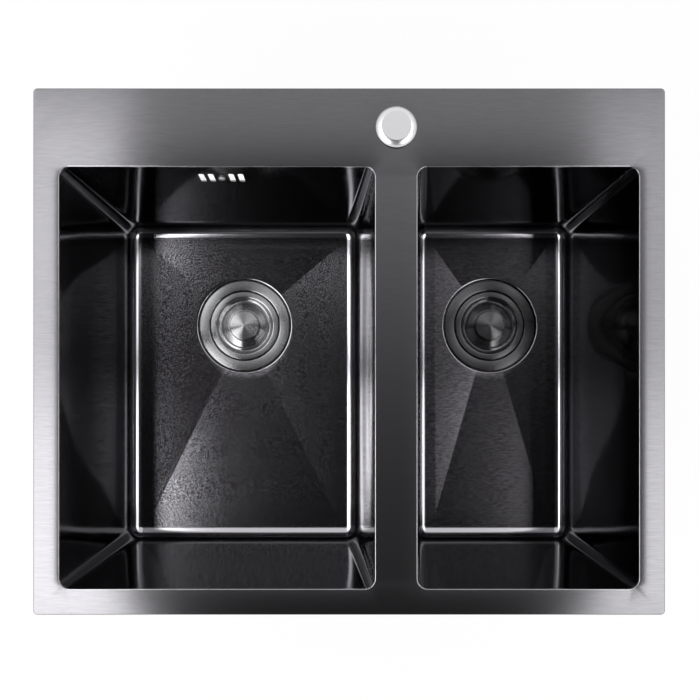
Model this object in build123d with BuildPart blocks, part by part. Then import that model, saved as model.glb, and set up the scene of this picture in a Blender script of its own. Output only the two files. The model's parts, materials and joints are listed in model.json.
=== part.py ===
from build123d import *
import os
from math import cos, radians, sin, tan

# Double bowl kitchen sink, set into a worktop from above.
# X runs to the right, Y to the rear and Z up. The origin is the middle of the rim,
# in the plane of the worktop's top face, where the rim seal rests.

# ---------------------------------------------------------------- driving sizes, mm
# Deck plate
sink_length = 600.0         # left to right
sink_width = 500.0          # front to rear
deck_thickness = 3.0
deck_corner = 4.0
deck_bevel = 1.0            # round the outer edge
opening_bevel = 0.5         # polished edge round each bowl
rim = 24.5                  # deck between its edge and a bowl: left, right and front
rear_band = 74.5            # deck behind the bowls
divider = 40.5
right_bowl_width = 210.5
opening_corner = 10.0       # also between a bowl's walls, all the way down

# Drawn bowls
bowl_depth = 210.0          # from the deck's top face to the edge of the floor
sheet = 1.0
wall_draft = 4.5            # degrees off upright
floor_fillet = 13.0
weld_lip = 3.5              # turned out under the deck plate
floor_fall = 5.0            # from the floor's edge to where its creases meet
fall_inset = 10.0           # level border between the fillet and the creases
drain_setback = 131.5       # from the rear edge of the opening to the drain's axis

# Rim seal and worktop
seal_thickness = 1.5
seal_width = 7.0
seal_inset = 2.0
rim_overlap = 10.0          # how far the deck reaches past the worktop's cut-out
worktop_thickness = 30.0

# Clips that pull the rim down
clip_spacing_long = 380.0   # between the two clips of the front and of the rear
clip_spacing_short = 230.0  # between the two clips of the left and of the right
lug_margin = 1.2
lug_sheet = 1.5
lug_foot = 7.0
lug_room = 5.0              # height for the bolt's head under the deck
clip_bolt_radius = 2.5
clip_head_size = 8.0        # across the flats
clip_head_height = 3.0
claw_sheet = 2.0
claw_tooth = 6.0            # height of the turned-up tip
claw_grip = 6.5             # from the cut-out's edge to the tip's outer face
claw_notch = 4.0            # between the two teeth of a tip
claw_bend = 2.5
claw_margin = 0.6           # from a claw turned inwards to the cut-out's edge
wing_hub_radius = 4.6
wing_hub_height = 5.0
wing_span = 22.0
wing_rise = 6.0
wing_sheet = 1.8
bolt_tail = 4.0             # thread that shows under a clip's nut

# Strainer waste, one in each bowl
cup_radius = 42.3           # inside
cup_wall = 0.8
cup_flange_radius = 54.0
cup_flange_thickness = 1.2
cup_lip = 1.2               # round where the flange turns down into the cup
cup_depth = 34.0            # from the flange's underside to the seat
cup_seat_drop = 4.0
cup_sump_radius = 24.0
cup_outlet_radius = 5.0
cup_outlet_circle = 14.5
cup_outlets = 6
cup_screw_radius = 3.0
cup_screw_head = 5.5
cup_screw_head_height = 3.0
cup_gasket_thickness = 1.5
recess_margin = 3.0         # dark gap between the flange and the recess
recess_depth = 7.0          # below the edge of the bowl's floor
hole_clearance = 1.9        # round the cup in the bowl's drain hole

body_gasket_thickness = 2.5
body_gasket_width = 10.0
body_wall = 3.0
body_flange_width = 11.0
body_flange_thickness = 4.0
body_bore_margin = 1.0      # wider than the bowl's drain hole
spider_hub_radius = 7.0
spider_height = 12.0
spider_rib = 3.0
spider_ribs = 3
body_cone = 8.0             # height of the funnel under the spider
body_gussets = 8            # ribs that stiffen the body's flange
body_gusset = 2.2           # thickness of a rib
body_gusset_drop = 14.0     # down the body's wall
body_gusset_margin = 1.0    # from a rib to the flange's edge
outlet_radius = 23.9        # over the thread of a 1 1/2 inch trap
outlet_bore = 20.0
outlet_length = 30.0

# Basket and lid
basket_clearance = 1.5
basket_sheet = 0.8
basket_rim = 2.5
basket_depth = 26.0
basket_taper = 5.3          # from under the rim to the basket's floor
basket_slots = 16
basket_slot_width = 4.0
basket_slot_height = 12.0
basket_floor_holes = 12
basket_floor_hole_radius = 2.0
stopper_radius = 26.0
stopper_flare = 2.5
stopper_thickness = 3.0
stem_radius = 3.0
stem_knob_radius = 8.0
stem_knob_height = 3.0
stem_rise = 15.0            # of the stem's knob above the basket's floor
stem_head_radius = 5.0
stem_head_height = 1.0

lid_clearance = 1.3
lid_sheet = 1.0
lid_skirt = 2.6             # height of the lid's turned-down edge
lid_rim = 7.0
lid_edge_drop = 0.4
lid_groove_width = 7.8
lid_groove_depth = 3.4
lid_dome_width = 7.2
lid_dome_foot = 1.9         # how far the dome's foot lies below the rim
lid_dome_rise = 0.6         # of the lid's middle above its rim
lid_seal_width = 4.5
knob_margin = 1.5           # from the knob to the edge of the lid's flat middle
knob_neck_margin = 1.0      # the neck stands back from the knob by this
knob_neck_height = 1.0
knob_height = 4.0
knob_crown = 1.0
knob_stud_radius = 2.0
lid_nut_size = 7.0
lid_nut_height = 3.0

# Overflow in the left bowl
overflow_drop = 32.0        # from the deck's top face to the slots' middle
overflow_slot_width = 5.5
overflow_slot_height = 22.0
overflow_slot_corner = 2.0
overflow_first_slot = 10.0  # from the middle to the nearest slot's middle
overflow_slot_pitch = 9.2
overflow_border = 4.0       # sealing border round the slots
overflow_gasket_thickness = 2.0
overflow_wall = 2.5
overflow_room = 9.5
overflow_corner = 7.0
overflow_boss_radius = 4.5
overflow_screw_radius = 2.0
overflow_screw_head = 3.4
overflow_screw_head_height = 1.6
overflow_screw_length = 10.0
hose_radius = 10.5          # outside of both hose spigots
hose_bore = 8.0
hose_length = 24.0          # of straight spigot that a hose slides on to
hose_collar = 2.5
hose_collar_length = 4.0

# Tap hole and the cap that closes it
tap_hole_radius = 17.5
cap_radius = 19.5
cap_flat_radius = 14.0
cap_height = 5.0
cap_edge = 1.2              # upright edge under the cap's shoulder
cap_shoulder = 12.0         # radius of the shoulder, which leaves the flat at an angle
cap_wall = 2.0
cap_seal_thickness = 0.8
cap_collar_wall = 2.0
cap_stem_radius = 4.0
cap_stem_length = 32.0
cap_washer_radius = 24.0
cap_washer_thickness = 3.0
cap_nut_radius = 8.0
cap_nut_height = 8.0
cap_nut_span = 38.0
cap_nut_rise = 9.0
cap_nut_wing = 3.0

# Damping pads
pad_thickness = 3.0
pad_corner = 15.0           # of a floor pad, in plan
wall_pad_length = 240.0
wall_pad_height = 90.0
wall_pad_drop = 80.0        # from the deck's top face to a pad's upper edge
floor_pad_margin = 45.0     # from a bowl's opening, in plan, to a floor pad
floor_pad_gap = 12.0        # between a floor pad and the drain body's flange

# Clearances
seat_gap = 0.3              # between pieces that move apart
fit_gap = 0.1               # round a screw in its hole
loose_gap = 0.3             # round a bolt in a clearance hole

# ---------------------------------------------------------------- levels and places
deck_underside = seal_thickness
deck_top = deck_underside + deck_thickness
floor_level = deck_top - bowl_depth
wall_slope = tan(radians(wall_draft))

left_bowl_width = sink_length - 2 * rim - divider - right_bowl_width
bowl_length = sink_width - rim - rear_band
left_x = -sink_length / 2 + rim + left_bowl_width / 2
right_x = sink_length / 2 - rim - right_bowl_width / 2
divider_x = -sink_length / 2 + rim + left_bowl_width + divider / 2
bowl_y = -sink_width / 2 + rim + bowl_length / 2
rear_wall_y = bowl_y + bowl_length / 2
drain_y = rear_wall_y - drain_setback
bowl_widths = {"left": left_bowl_width, "right": right_bowl_width}
drain_xs = {"left": left_x, "right": right_x}

recess_radius = cup_flange_radius + recess_margin
recess_floor = floor_level - recess_depth
drain_hole_radius = cup_radius + cup_wall + hole_clearance
flange_underside = recess_floor + cup_gasket_thickness
flange_top = flange_underside + cup_flange_thickness
cup_seat = flange_underside - cup_depth
sump_level = cup_seat - cup_seat_drop

clip_inset = (rim_overlap + rim - weld_lip) / 2
clip_x = sink_length / 2 - clip_inset
clip_y = sink_width / 2 - clip_inset


def wall_inset(level):
    """How far a bowl's inner wall stands in from its opening at a level."""
    return wall_slope * (deck_underside - level)


def tapped(screw_radius):
    """Radius of the hole that a screw turns in."""
    return screw_radius + fit_gap


# ---------------------------------------------------------------- shared shapes
def slab(width, length, corner, bottom, height, centre=(0.0, 0.0), mode=Mode.ADD):
    """Level slab with rounded corners, from its bottom face upwards."""
    with BuildSketch(Plane((centre[0], centre[1], bottom))) as outline:
        RectangleRounded(width, length, corner)
    extrude(outline.sketch, amount=height, mode=mode)


def disc(radius, bottom, top, centre, mode=Mode.ADD):
    """Upright cylinder between two levels."""
    with BuildSketch(Plane((centre[0], centre[1], bottom))) as outline:
        Circle(radius)
    extrude(outline.sketch, amount=top - bottom, mode=mode)


def turned(outline, centre, mode=Mode.ADD):
    """Solid of revolution about an upright axis from points (radius, level)."""
    section = Plane((centre[0], centre[1], 0), x_dir=(1, 0, 0), z_dir=(0, -1, 0))
    with BuildSketch(section) as profile:
        with BuildLine():
            Polyline(*outline, close=True)
        make_face()
    revolve(profile.sketch, axis=Axis((centre[0], centre[1], 0), (0, 0, 1)), mode=mode)


def ring(inner, outer, bottom, height, centre):
    """Flat ring, from its bottom face upwards."""
    with BuildSketch(Plane((centre[0], centre[1], bottom))) as outline:
        Circle(outer)
        Circle(inner, mode=Mode.SUBTRACT)
    extrude(outline.sketch, amount=height)


def wings(plane, hub_radius, span, rise, wing_sheet):
    """Two wings of a wing nut, on a plane whose y points away from the clamped face."""
    root = hub_radius - wing_sheet / 2
    tip = span / 2
    bevel = rise / 2
    with BuildSketch(plane) as outline:
        for side in (1, -1):
            with BuildLine():
                Polyline(
                    (side * root, 0),
                    (side * root, bevel),
                    (side * (tip - bevel), rise),
                    (side * tip, rise),
                    (side * tip, bevel),
                    (side * (tip - bevel), 0),
                    close=True,
                )
            make_face()
    extrude(outline.sketch, amount=wing_sheet / 2, both=True)


def write(piece, name):
    """Label a finished piece and write its STEP file."""
    piece.part.label = name
    export_step(piece.part, f"parts/{name}.step")


os.makedirs("parts", exist_ok=True)

# ---------------------------------------------------------------- deck plate
with BuildPart() as deck_plate:
    slab(sink_length, sink_width, deck_corner, deck_underside, deck_thickness)
    chamfer(deck_plate.faces().sort_by(Axis.Z)[-1].edges(), deck_bevel)
    top_edges = deck_plate.faces().sort_by(Axis.Z)[-1].edges()
    for side, bowl_x in drain_xs.items():
        slab(
            bowl_widths[side],
            bowl_length,
            opening_corner,
            deck_underside,
            deck_thickness,
            (bowl_x, bowl_y),
            Mode.SUBTRACT,
        )
    opening_edges = deck_plate.faces().sort_by(Axis.Z)[-1].edges() - top_edges
    chamfer(opening_edges, opening_bevel)
    tap_y = (rear_wall_y + sink_width / 2) / 2
    disc(tap_hole_radius, deck_underside, deck_top, (divider_x, tap_y), Mode.SUBTRACT)
write(deck_plate, "deck_plate")

with BuildPart() as rim_seal:
    seal_length = sink_length - 2 * seal_inset
    seal_span = sink_width - 2 * seal_inset
    slab(seal_length, seal_span, deck_corner, 0, seal_thickness)
    slab(
        seal_length - 2 * seal_width,
        seal_span - 2 * seal_width,
        deck_corner,
        0,
        seal_thickness,
        mode=Mode.SUBTRACT,
    )
write(rim_seal, "rim_seal")


# ---------------------------------------------------------------- drawn bowls
def pit(width, length, centre, top, depth, runs):
    """Solid under a rectangle whose right, left, rear and front sides run inwards as they fall."""
    sides = [((1, 0), width / 2), ((-1, 0), width / 2), ((0, 1), length / 2), ((0, -1), length / 2)]
    with BuildPart() as hollow:
        with BuildSketch(Plane((centre[0], centre[1], top))):
            Rectangle(width, length)
        extrude(amount=-depth)
        for ((x, y), reach), run in zip(sides, runs):
            brink = (centre[0] + x * reach, centre[1] + y * reach, top)
            split(bisect_by=Plane(brink, z_dir=(-x * depth, -y * depth, run)), keep=Keep.TOP)
    return hollow.part


def bowl_skin(side, grow):
    """Solid bounded by a bowl's inner face moved outwards by grow."""
    width, bowl_x = bowl_widths[side], drain_xs[side]
    foot_level = floor_level - grow
    draw = wall_inset(foot_level)
    fillet_reach = (floor_fillet + grow) * tan(radians(45 - wall_draft / 2))
    floor_inset = draw - grow + fillet_reach + fall_inset
    flat_width = width - 2 * floor_inset
    flat_length = bowl_length - 2 * floor_inset
    with BuildPart() as skin:
        add(
            pit(
                width + 2 * grow,
                bowl_length + 2 * grow,
                (bowl_x, bowl_y),
                deck_underside,
                deck_underside - foot_level,
                (draw, draw, draw, draw),
            )
        )
        wall_corners = skin.edges() - skin.faces().filter_by(Axis.Z).edges()
        fillet(wall_corners, opening_corner + grow)
        fillet(skin.faces().sort_by(Axis.Z)[0].edges(), floor_fillet + grow)
        # Four planes fall from the level border of the floor to the drain's axis.
        to_rear = bowl_y + flat_length / 2 - drain_y
        runs = (flat_width / 2, flat_width / 2, to_rear, flat_length - to_rear)
        add(pit(flat_width, flat_length, (bowl_x, bowl_y), foot_level, floor_fall, runs))
        disc(recess_radius + grow, recess_floor - grow, foot_level, (bowl_x, drain_y))
    return skin.part


skins = {side: bowl_skin(side, 0) for side in drain_xs}
sheet_skins = {side: bowl_skin(side, sheet) for side in drain_xs}
pad_skins = {side: bowl_skin(side, sheet + pad_thickness) for side in drain_xs}

overflow_level = deck_top - overflow_drop
overflow_xs = [
    left_x + hand * (overflow_first_slot + step * overflow_slot_pitch)
    for hand in (-1, 1)
    for step in (0, 1)
]
overflow_wall_y = rear_wall_y + sheet - wall_inset(overflow_level)
wall_normal = (0, cos(radians(wall_draft)), -sin(radians(wall_draft)))

for side, bowl_x in drain_xs.items():
    with BuildPart() as bowl:
        add(sheet_skins[side])
        lip_level = deck_underside - sheet
        slab(
            bowl_widths[side] + 2 * weld_lip,
            bowl_length + 2 * weld_lip,
            opening_corner + weld_lip,
            lip_level,
            sheet,
            (bowl_x, bowl_y),
        )
        add(skins[side], mode=Mode.SUBTRACT)
        hole_bottom = recess_floor - 2 * sheet
        disc(drain_hole_radius, hole_bottom, recess_floor, (bowl_x, drain_y), Mode.SUBTRACT)
        if side == "left":
            with BuildSketch(Plane.XZ.offset(-overflow_wall_y)) as overflow_cuts:
                for slot_x in overflow_xs:
                    with Locations((slot_x, overflow_level)):
                        RectangleRounded(
                            overflow_slot_width, overflow_slot_height, overflow_slot_corner
                        )
                with Locations((left_x, overflow_level)):
                    Circle(overflow_screw_radius + loose_gap)
            cut_reach = 2 * (sheet + wall_slope * overflow_slot_height)
            extrude(overflow_cuts.sketch, amount=cut_reach, both=True, mode=Mode.SUBTRACT)
    write(bowl, f"{side}_bowl")

# ---------------------------------------------------------------- damping pads
for side, bowl_x in drain_xs.items():
    with BuildPart() as wall_pads:
        reach = bowl_widths[side] + 4 * (sheet + pad_thickness)
        pad_bottom = deck_top - wall_pad_drop - wall_pad_height
        slab(reach, wall_pad_length, pad_thickness, pad_bottom, wall_pad_height, (bowl_x, bowl_y))
        add(pad_skins[side], mode=Mode.INTERSECT)
        add(sheet_skins[side], mode=Mode.SUBTRACT)
    write(wall_pads, f"{side}_wall_pads")

    with BuildPart() as floor_pad:
        front_y = bowl_y - bowl_length / 2 + floor_pad_margin
        body_edge = drain_hole_radius + body_bore_margin + body_flange_width
        pad_length = drain_y - body_edge - floor_pad_gap - front_y
        slab(
            bowl_widths[side] - 2 * floor_pad_margin,
            pad_length,
            pad_corner,
            floor_level - sheet - pad_thickness - floor_fall,
            floor_fall + pad_thickness + sheet,
            (bowl_x, front_y + pad_length / 2),
        )
        add(pad_skins[side], mode=Mode.INTERSECT)
        add(sheet_skins[side], mode=Mode.SUBTRACT)
    write(floor_pad, f"{side}_floor_pad")

# ---------------------------------------------------------------- clips
clips = {
    "front_left": (-clip_spacing_long / 2, -clip_y, (0, -1, 0)),
    "front_right": (clip_spacing_long / 2, -clip_y, (0, -1, 0)),
    "rear_left": (-clip_spacing_long / 2, clip_y, (0, 1, 0)),
    "rear_right": (clip_spacing_long / 2, clip_y, (0, 1, 0)),
    "left_front": (-clip_x, bowl_y - clip_spacing_short / 2, (-1, 0, 0)),
    "left_rear": (-clip_x, bowl_y + clip_spacing_short / 2, (-1, 0, 0)),
    "right_front": (clip_x, bowl_y - clip_spacing_short / 2, (1, 0, 0)),
    "right_rear": (clip_x, bowl_y + clip_spacing_short / 2, (1, 0, 0)),
}
lug_width = rim - weld_lip - rim_overlap - 2 * lug_margin
lug_web = deck_underside - lug_room
claw_top = -worktop_thickness - claw_tooth
claw_underside = claw_top - claw_sheet
nut_top = claw_underside - seat_gap
bolt_end = nut_top - wing_hub_height - bolt_tail
claw_width = 2 * (clip_inset - rim_overlap - claw_margin)
claw_tail = claw_width / 2
claw_tip = clip_inset - rim_overlap + claw_grip


with BuildPart() as clip_lugs:
    for name, (x, y, outwards) in clips.items():
        along = (-outwards[1], outwards[0], 0)
        section = Plane((x, y, deck_underside), x_dir=along, z_dir=outwards)
        half_room = clip_head_size / 2 + loose_gap
        half_web = half_room + lug_sheet
        with BuildSketch(section) as lug_outline:
            with BuildLine():
                Polyline(
                    (-half_web - lug_foot, 0),
                    (-half_room, 0),
                    (-half_room, -lug_room),
                    (half_room, -lug_room),
                    (half_room, 0),
                    (half_web + lug_foot, 0),
                    (half_web + lug_foot, -lug_sheet),
                    (half_web, -lug_sheet),
                    (half_web, -lug_room - lug_sheet),
                    (-half_web, -lug_room - lug_sheet),
                    (-half_web, -lug_sheet),
                    (-half_web - lug_foot, -lug_sheet),
                    close=True,
                )
            make_face()
        extrude(lug_outline.sketch, amount=lug_width / 2, both=True)
        disc(
            clip_bolt_radius + loose_gap,
            lug_web - lug_sheet,
            lug_web,
            (x, y),
            Mode.SUBTRACT,
        )
write(clip_lugs, "clip_lugs")

with BuildPart() as clip_bolts:
    for x, y, outwards in clips.values():
        disc(clip_bolt_radius, bolt_end, lug_web, (x, y))
        with BuildSketch(Plane((x, y, lug_web))) as head:
            Rectangle(clip_head_size, clip_head_size)
        extrude(head.sketch, amount=clip_head_height)
write(clip_bolts, "clip_bolts")

with BuildPart() as clip_nuts:
    for x, y, outwards in clips.values():
        section = Plane((x, y, nut_top), x_dir=(outwards[1], -outwards[0], 0), z_dir=outwards)
        disc(wing_hub_radius, nut_top - wing_hub_height, nut_top, (x, y))
        wings(section, wing_hub_radius, wing_span, wing_rise, wing_sheet)
        disc(tapped(clip_bolt_radius), bolt_end, nut_top, (x, y), Mode.SUBTRACT)
write(clip_nuts, "clip_nuts")

for name, (x, y, outwards) in clips.items():
    along = (-outwards[1], outwards[0], 0)
    with BuildPart() as claw:
        section = Plane((x, y, claw_underside), x_dir=outwards, z_dir=(outwards[1], -outwards[0], 0))
        with BuildSketch(section) as claw_outline:
            with BuildLine():
                Polyline(
                    (-claw_tail, 0),
                    (claw_tip, 0),
                    (claw_tip, claw_sheet + claw_tooth),
                    (claw_tip - claw_sheet, claw_sheet + claw_tooth),
                    (claw_tip - claw_sheet, claw_sheet),
                    (-claw_tail, claw_sheet),
                    close=True,
                )
            make_face()
            bend = claw_outline.vertices().group_by(Axis.X)[-1].sort_by(Axis.Y)[0]
            fillet(bend, claw_bend)
        extrude(claw_outline.sketch, amount=claw_width / 2, both=True)
        disc(
            clip_bolt_radius + loose_gap, claw_underside, claw_top, (x, y), Mode.SUBTRACT
        )
        tip_plane = Plane(
            (x + outwards[0] * claw_tip, y + outwards[1] * claw_tip, -worktop_thickness),
            x_dir=along,
            z_dir=outwards,
        )
        with BuildSketch(tip_plane) as notch:
            with BuildLine():
                Polyline(
                    (-claw_notch / 2, 0), (claw_notch / 2, 0), (0, -claw_notch / 2), close=True
                )
            make_face()
        extrude(notch.sketch, amount=-claw_sheet, mode=Mode.SUBTRACT)
    write(claw, f"{name}_claw")


# ---------------------------------------------------------------- strainer wastes
body_top = recess_floor - sheet - body_gasket_thickness
body_bore = drain_hole_radius + body_bore_margin
spider_top = sump_level - cup_wall
spider_bottom = spider_top - spider_height
outlet_top = spider_bottom - body_cone - body_wall
outlet_end = outlet_top - outlet_length
hose_level = body_top - body_flange_thickness - hose_radius - hose_collar - fit_gap

lid_radius = cup_radius - lid_clearance
lid_rim_inner = lid_radius - lid_rim
lid_groove_inner = lid_rim_inner - lid_groove_width
lid_middle_radius = lid_groove_inner - lid_dome_width
lid_middle = flange_top + lid_dome_rise
lid_bottom = flange_top - lid_skirt
knob_radius = lid_middle_radius - knob_margin

basket_radius = cup_radius - basket_clearance
basket_top = lid_bottom - seat_gap
basket_floor = basket_top - basket_depth
basket_wall_top = basket_radius - basket_rim
basket_wall_foot = basket_wall_top - basket_taper
stopper_top = basket_floor - basket_sheet
stopper_underside = stopper_top - stopper_thickness
stem_top = basket_floor + stem_rise


def seat_level(radius):
    """Level of the cup's conical seat at a radius."""
    share = (cup_radius - radius) / (cup_radius - cup_sump_radius)
    return cup_seat - cup_seat_drop * share


for side, bowl_x in drain_xs.items():
    axis_at = (bowl_x, drain_y)

    with BuildPart() as strainer_cup:
        turned(
            [
                (cup_flange_radius, flange_underside),
                (cup_flange_radius, flange_top),
                (cup_radius, flange_top),
                (cup_radius, cup_seat),
                (cup_sump_radius, sump_level),
                (0, sump_level),
                (0, sump_level - cup_wall),
                (cup_sump_radius, sump_level - cup_wall),
                (cup_radius + cup_wall, cup_seat - cup_wall),
                (cup_radius + cup_wall, flange_underside),
            ],
            axis_at,
        )
        mouth = strainer_cup.faces().filter_by(Axis.Z).sort_by(Axis.Z)[-1].edges()
        fillet(mouth.sort_by(SortBy.RADIUS)[0], cup_lip)
        fillet(mouth.sort_by(SortBy.RADIUS)[-1], cup_flange_thickness / 2)
        with BuildSketch(Plane((bowl_x, drain_y, sump_level))) as outlets:
            with PolarLocations(cup_outlet_circle, cup_outlets):
                Circle(cup_outlet_radius)
            Circle(tapped(cup_screw_radius))
        extrude(outlets.sketch, amount=-2 * cup_wall, mode=Mode.SUBTRACT)
    write(strainer_cup, f"{side}_strainer_cup")

    with BuildPart() as cup_gasket:
        ring(
            drain_hole_radius,
            cup_flange_radius - cup_wall,
            recess_floor,
            cup_gasket_thickness,
            axis_at,
        )
    write(cup_gasket, f"{side}_cup_gasket")

    with BuildPart() as body_gasket:
        ring(body_bore, body_bore + body_gasket_width, body_top, body_gasket_thickness, axis_at)
    write(body_gasket, f"{side}_body_gasket")

    with BuildPart() as drain_body:
        turned(
            [
                (0, body_top),
                (body_bore + body_flange_width, body_top),
                (body_bore + body_flange_width, body_top - body_flange_thickness),
                (body_bore + body_wall, body_top - body_flange_thickness),
                (body_bore + body_wall, spider_bottom - body_wall),
                (outlet_radius, outlet_top),
                (outlet_radius, outlet_end),
                (0, outlet_end),
            ],
            axis_at,
        )
        gusset_top = body_top - body_flange_thickness
        gusset_planes = [
            Plane(
                (bowl_x, drain_y, gusset_top),
                x_dir=(cos(turn), sin(turn), 0),
                z_dir=(sin(turn), -cos(turn), 0),
            )
            for turn in [radians(360 * (i + 0.5) / body_gussets) for i in range(body_gussets)]
        ]
        with BuildSketch(*gusset_planes) as gussets:
            with BuildLine():
                Polyline(
                    (body_bore + body_wall / 2, 0),
                    (body_bore + body_flange_width - body_gusset_margin, 0),
                    (body_bore + body_wall, -body_gusset_drop),
                    (body_bore + body_wall / 2, -body_gusset_drop),
                    close=True,
                )
            make_face()
        extrude(gussets.sketch, amount=body_gusset / 2, both=True)
        if side == "left":
            hose_start = drain_y + body_bore + body_wall + hose_collar_length
            hose_mouth = Plane((bowl_x, hose_start, hose_level), x_dir=(-1, 0, 0), z_dir=(0, 1, 0))
            with BuildSketch(hose_mouth) as collar:
                Circle(hose_radius + hose_collar)
            extrude(collar.sketch, amount=-hose_collar_length - body_wall - hose_radius)
            with BuildSketch(hose_mouth) as spigot:
                Circle(hose_radius)
            extrude(spigot.sketch, amount=hose_length)
            with BuildSketch(hose_mouth.offset(hose_length)) as hose_way:
                Circle(hose_bore)
            way_length = hose_length + hose_collar_length + body_wall + hose_radius
            extrude(hose_way.sketch, amount=-way_length, mode=Mode.SUBTRACT)
        turned(
            [
                (0, body_top),
                (body_bore, body_top),
                (body_bore, spider_bottom),
                (outlet_bore, spider_bottom - body_cone),
                (outlet_bore, outlet_end),
                (0, outlet_end),
            ],
            axis_at,
            Mode.SUBTRACT,
        )
        with BuildSketch(Plane((bowl_x, drain_y, spider_bottom))) as spider:
            with PolarLocations(0, spider_ribs):
                rib_reach = body_bore + body_wall / 2
                Rectangle(rib_reach, spider_rib, align=(Align.MIN, Align.CENTER))
        extrude(spider.sketch, amount=spider_height / 2)
        disc(spider_hub_radius, spider_bottom, spider_top, axis_at)
        disc(tapped(cup_screw_radius), spider_bottom, spider_top, axis_at, Mode.SUBTRACT)
    write(drain_body, f"{side}_drain_body")

    with BuildPart() as cup_screw:
        disc(cup_screw_head, sump_level, sump_level + cup_screw_head_height, axis_at)
        chamfer(cup_screw.faces().sort_by(Axis.Z)[-1].edges(), cup_screw_head_height / 3)
        disc(cup_screw_radius, spider_bottom, sump_level, axis_at)
    write(cup_screw, f"{side}_cup_screw")

    with BuildPart() as basket:
        turned(
            [
                (basket_radius, basket_top),
                (basket_radius, basket_top - basket_sheet),
                (basket_wall_top, basket_top - basket_sheet),
                (basket_wall_foot, basket_floor - basket_sheet),
                (0, basket_floor - basket_sheet),
                (0, basket_floor),
                (basket_wall_foot - basket_sheet, basket_floor),
                (basket_wall_top - basket_sheet, basket_top),
            ],
            axis_at,
        )
        slot_level = (basket_top + basket_floor) / 2
        slot_planes = [
            Plane(
                (bowl_x, drain_y, slot_level),
                x_dir=(-sin(turn), cos(turn), 0),
                z_dir=(cos(turn), sin(turn), 0),
            )
            for turn in [radians(360 * i / basket_slots) for i in range(basket_slots)]
        ]
        with BuildSketch(*slot_planes) as slots:
            SlotOverall(basket_slot_height, basket_slot_width, rotation=90)
        extrude(slots.sketch, amount=basket_radius, mode=Mode.SUBTRACT)
        with BuildSketch(Plane((bowl_x, drain_y, basket_floor))) as floor_holes:
            hole_circle = (stopper_radius + basket_wall_foot - basket_sheet) / 2
            with PolarLocations(hole_circle, basket_floor_holes):
                Circle(basket_floor_hole_radius)
            Circle(tapped(stem_radius))
        extrude(floor_holes.sketch, amount=-2 * basket_sheet, mode=Mode.SUBTRACT)
    write(basket, f"{side}_basket")

    with BuildPart() as basket_seal:
        lip_outer = stopper_radius + stopper_flare
        lip_inner = cup_sump_radius + seat_gap
        turned(
            [
                (tapped(stem_radius), stopper_top),
                (stopper_radius, stopper_top),
                (lip_outer, stopper_underside),
                (lip_outer, seat_level(lip_outer) + seat_gap),
                (lip_inner, seat_level(lip_inner) + seat_gap),
                (lip_inner - stopper_flare, stopper_underside),
                (tapped(stem_radius), stopper_underside),
            ],
            axis_at,
        )
    write(basket_seal, f"{side}_basket_seal")

    with BuildPart() as basket_stem:
        stem_end = stopper_underside - stem_head_height
        knob_underside = stem_top - stem_knob_height
        turned(
            [
                (0, stem_end),
                (stem_head_radius, stem_end),
                (stem_head_radius, stopper_underside),
                (stem_radius, stopper_underside),
                (stem_radius, basket_floor),
                (stem_head_radius, basket_floor),
                (stem_head_radius, basket_floor + stem_head_height),
                (stem_radius, basket_floor + 2 * stem_head_height),
                (stem_radius, knob_underside),
                (stem_knob_radius, knob_underside + stem_knob_height / 3),
                (stem_knob_radius, stem_top - stem_knob_height / 3),
                (stem_knob_radius - stem_knob_height, stem_top),
                (0, stem_top),
            ],
            axis_at,
        )
    write(basket_stem, f"{side}_basket_stem")

    section = Plane((bowl_x, drain_y, 0), x_dir=(1, 0, 0), z_dir=(0, -1, 0))
    upright = Axis((bowl_x, drain_y, 0), (0, 0, 1))
    groove_middle = (lid_rim_inner + lid_groove_inner) / 2
    with BuildPart() as lid:
        with BuildSketch(section) as lid_profile:
            with BuildLine():
                for top in (flange_top, flange_top - lid_sheet):
                    ThreePointArc(
                        (lid_rim_inner, top - lid_edge_drop),
                        (groove_middle, top - lid_groove_depth),
                        (lid_groove_inner, top - lid_dome_foot),
                    )
                    Polyline(
                        (lid_groove_inner, top - lid_dome_foot),
                        (lid_middle_radius, top + lid_dome_rise),
                        (tapped(knob_stud_radius), top + lid_dome_rise),
                    )
                Line(
                    (tapped(knob_stud_radius), lid_middle),
                    (tapped(knob_stud_radius), lid_middle - lid_sheet),
                )
                Polyline(
                    (lid_rim_inner, flange_top - lid_edge_drop),
                    (lid_rim_inner + lid_sheet, flange_top),
                    (lid_radius, flange_top),
                    (lid_radius, lid_bottom),
                    (lid_radius - lid_sheet, lid_bottom),
                    (lid_radius - lid_sheet, flange_top - lid_sheet),
                    (lid_rim_inner + lid_sheet, flange_top - lid_sheet),
                    (lid_rim_inner, flange_top - lid_edge_drop - lid_sheet),
                )
            make_face()
        revolve(lid_profile.sketch, axis=upright)
        edge = lid.edges().filter_by(GeomType.CIRCLE).sort_by(SortBy.RADIUS)[-2:]
        fillet(edge.sort_by(Axis.Z)[-1], lid_sheet / 2)
    write(lid, f"{side}_lid")

    with BuildPart() as lid_seal:
        seal_outer = lid_radius - lid_sheet
        ring(seal_outer - lid_seal_width, seal_outer, lid_bottom, lid_skirt - lid_sheet, axis_at)
    write(lid_seal, f"{side}_lid_seal")

    with BuildPart() as lid_knob:
        neck_top = lid_middle + knob_neck_height
        knob_top = neck_top + knob_height
        stud_end = lid_middle - lid_sheet - lid_nut_height - knob_stud_radius / 2
        turned(
            [
                (0, stud_end),
                (knob_stud_radius, stud_end),
                (knob_stud_radius, lid_middle),
                (knob_radius - knob_neck_margin, lid_middle),
                (knob_radius - knob_neck_margin, neck_top),
                (knob_radius, neck_top),
                (knob_radius, knob_top - knob_crown / 2),
                (knob_radius - knob_crown / 2, knob_top),
                (0, knob_top + knob_crown),
            ],
            axis_at,
        )
    write(lid_knob, f"{side}_lid_knob")

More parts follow.
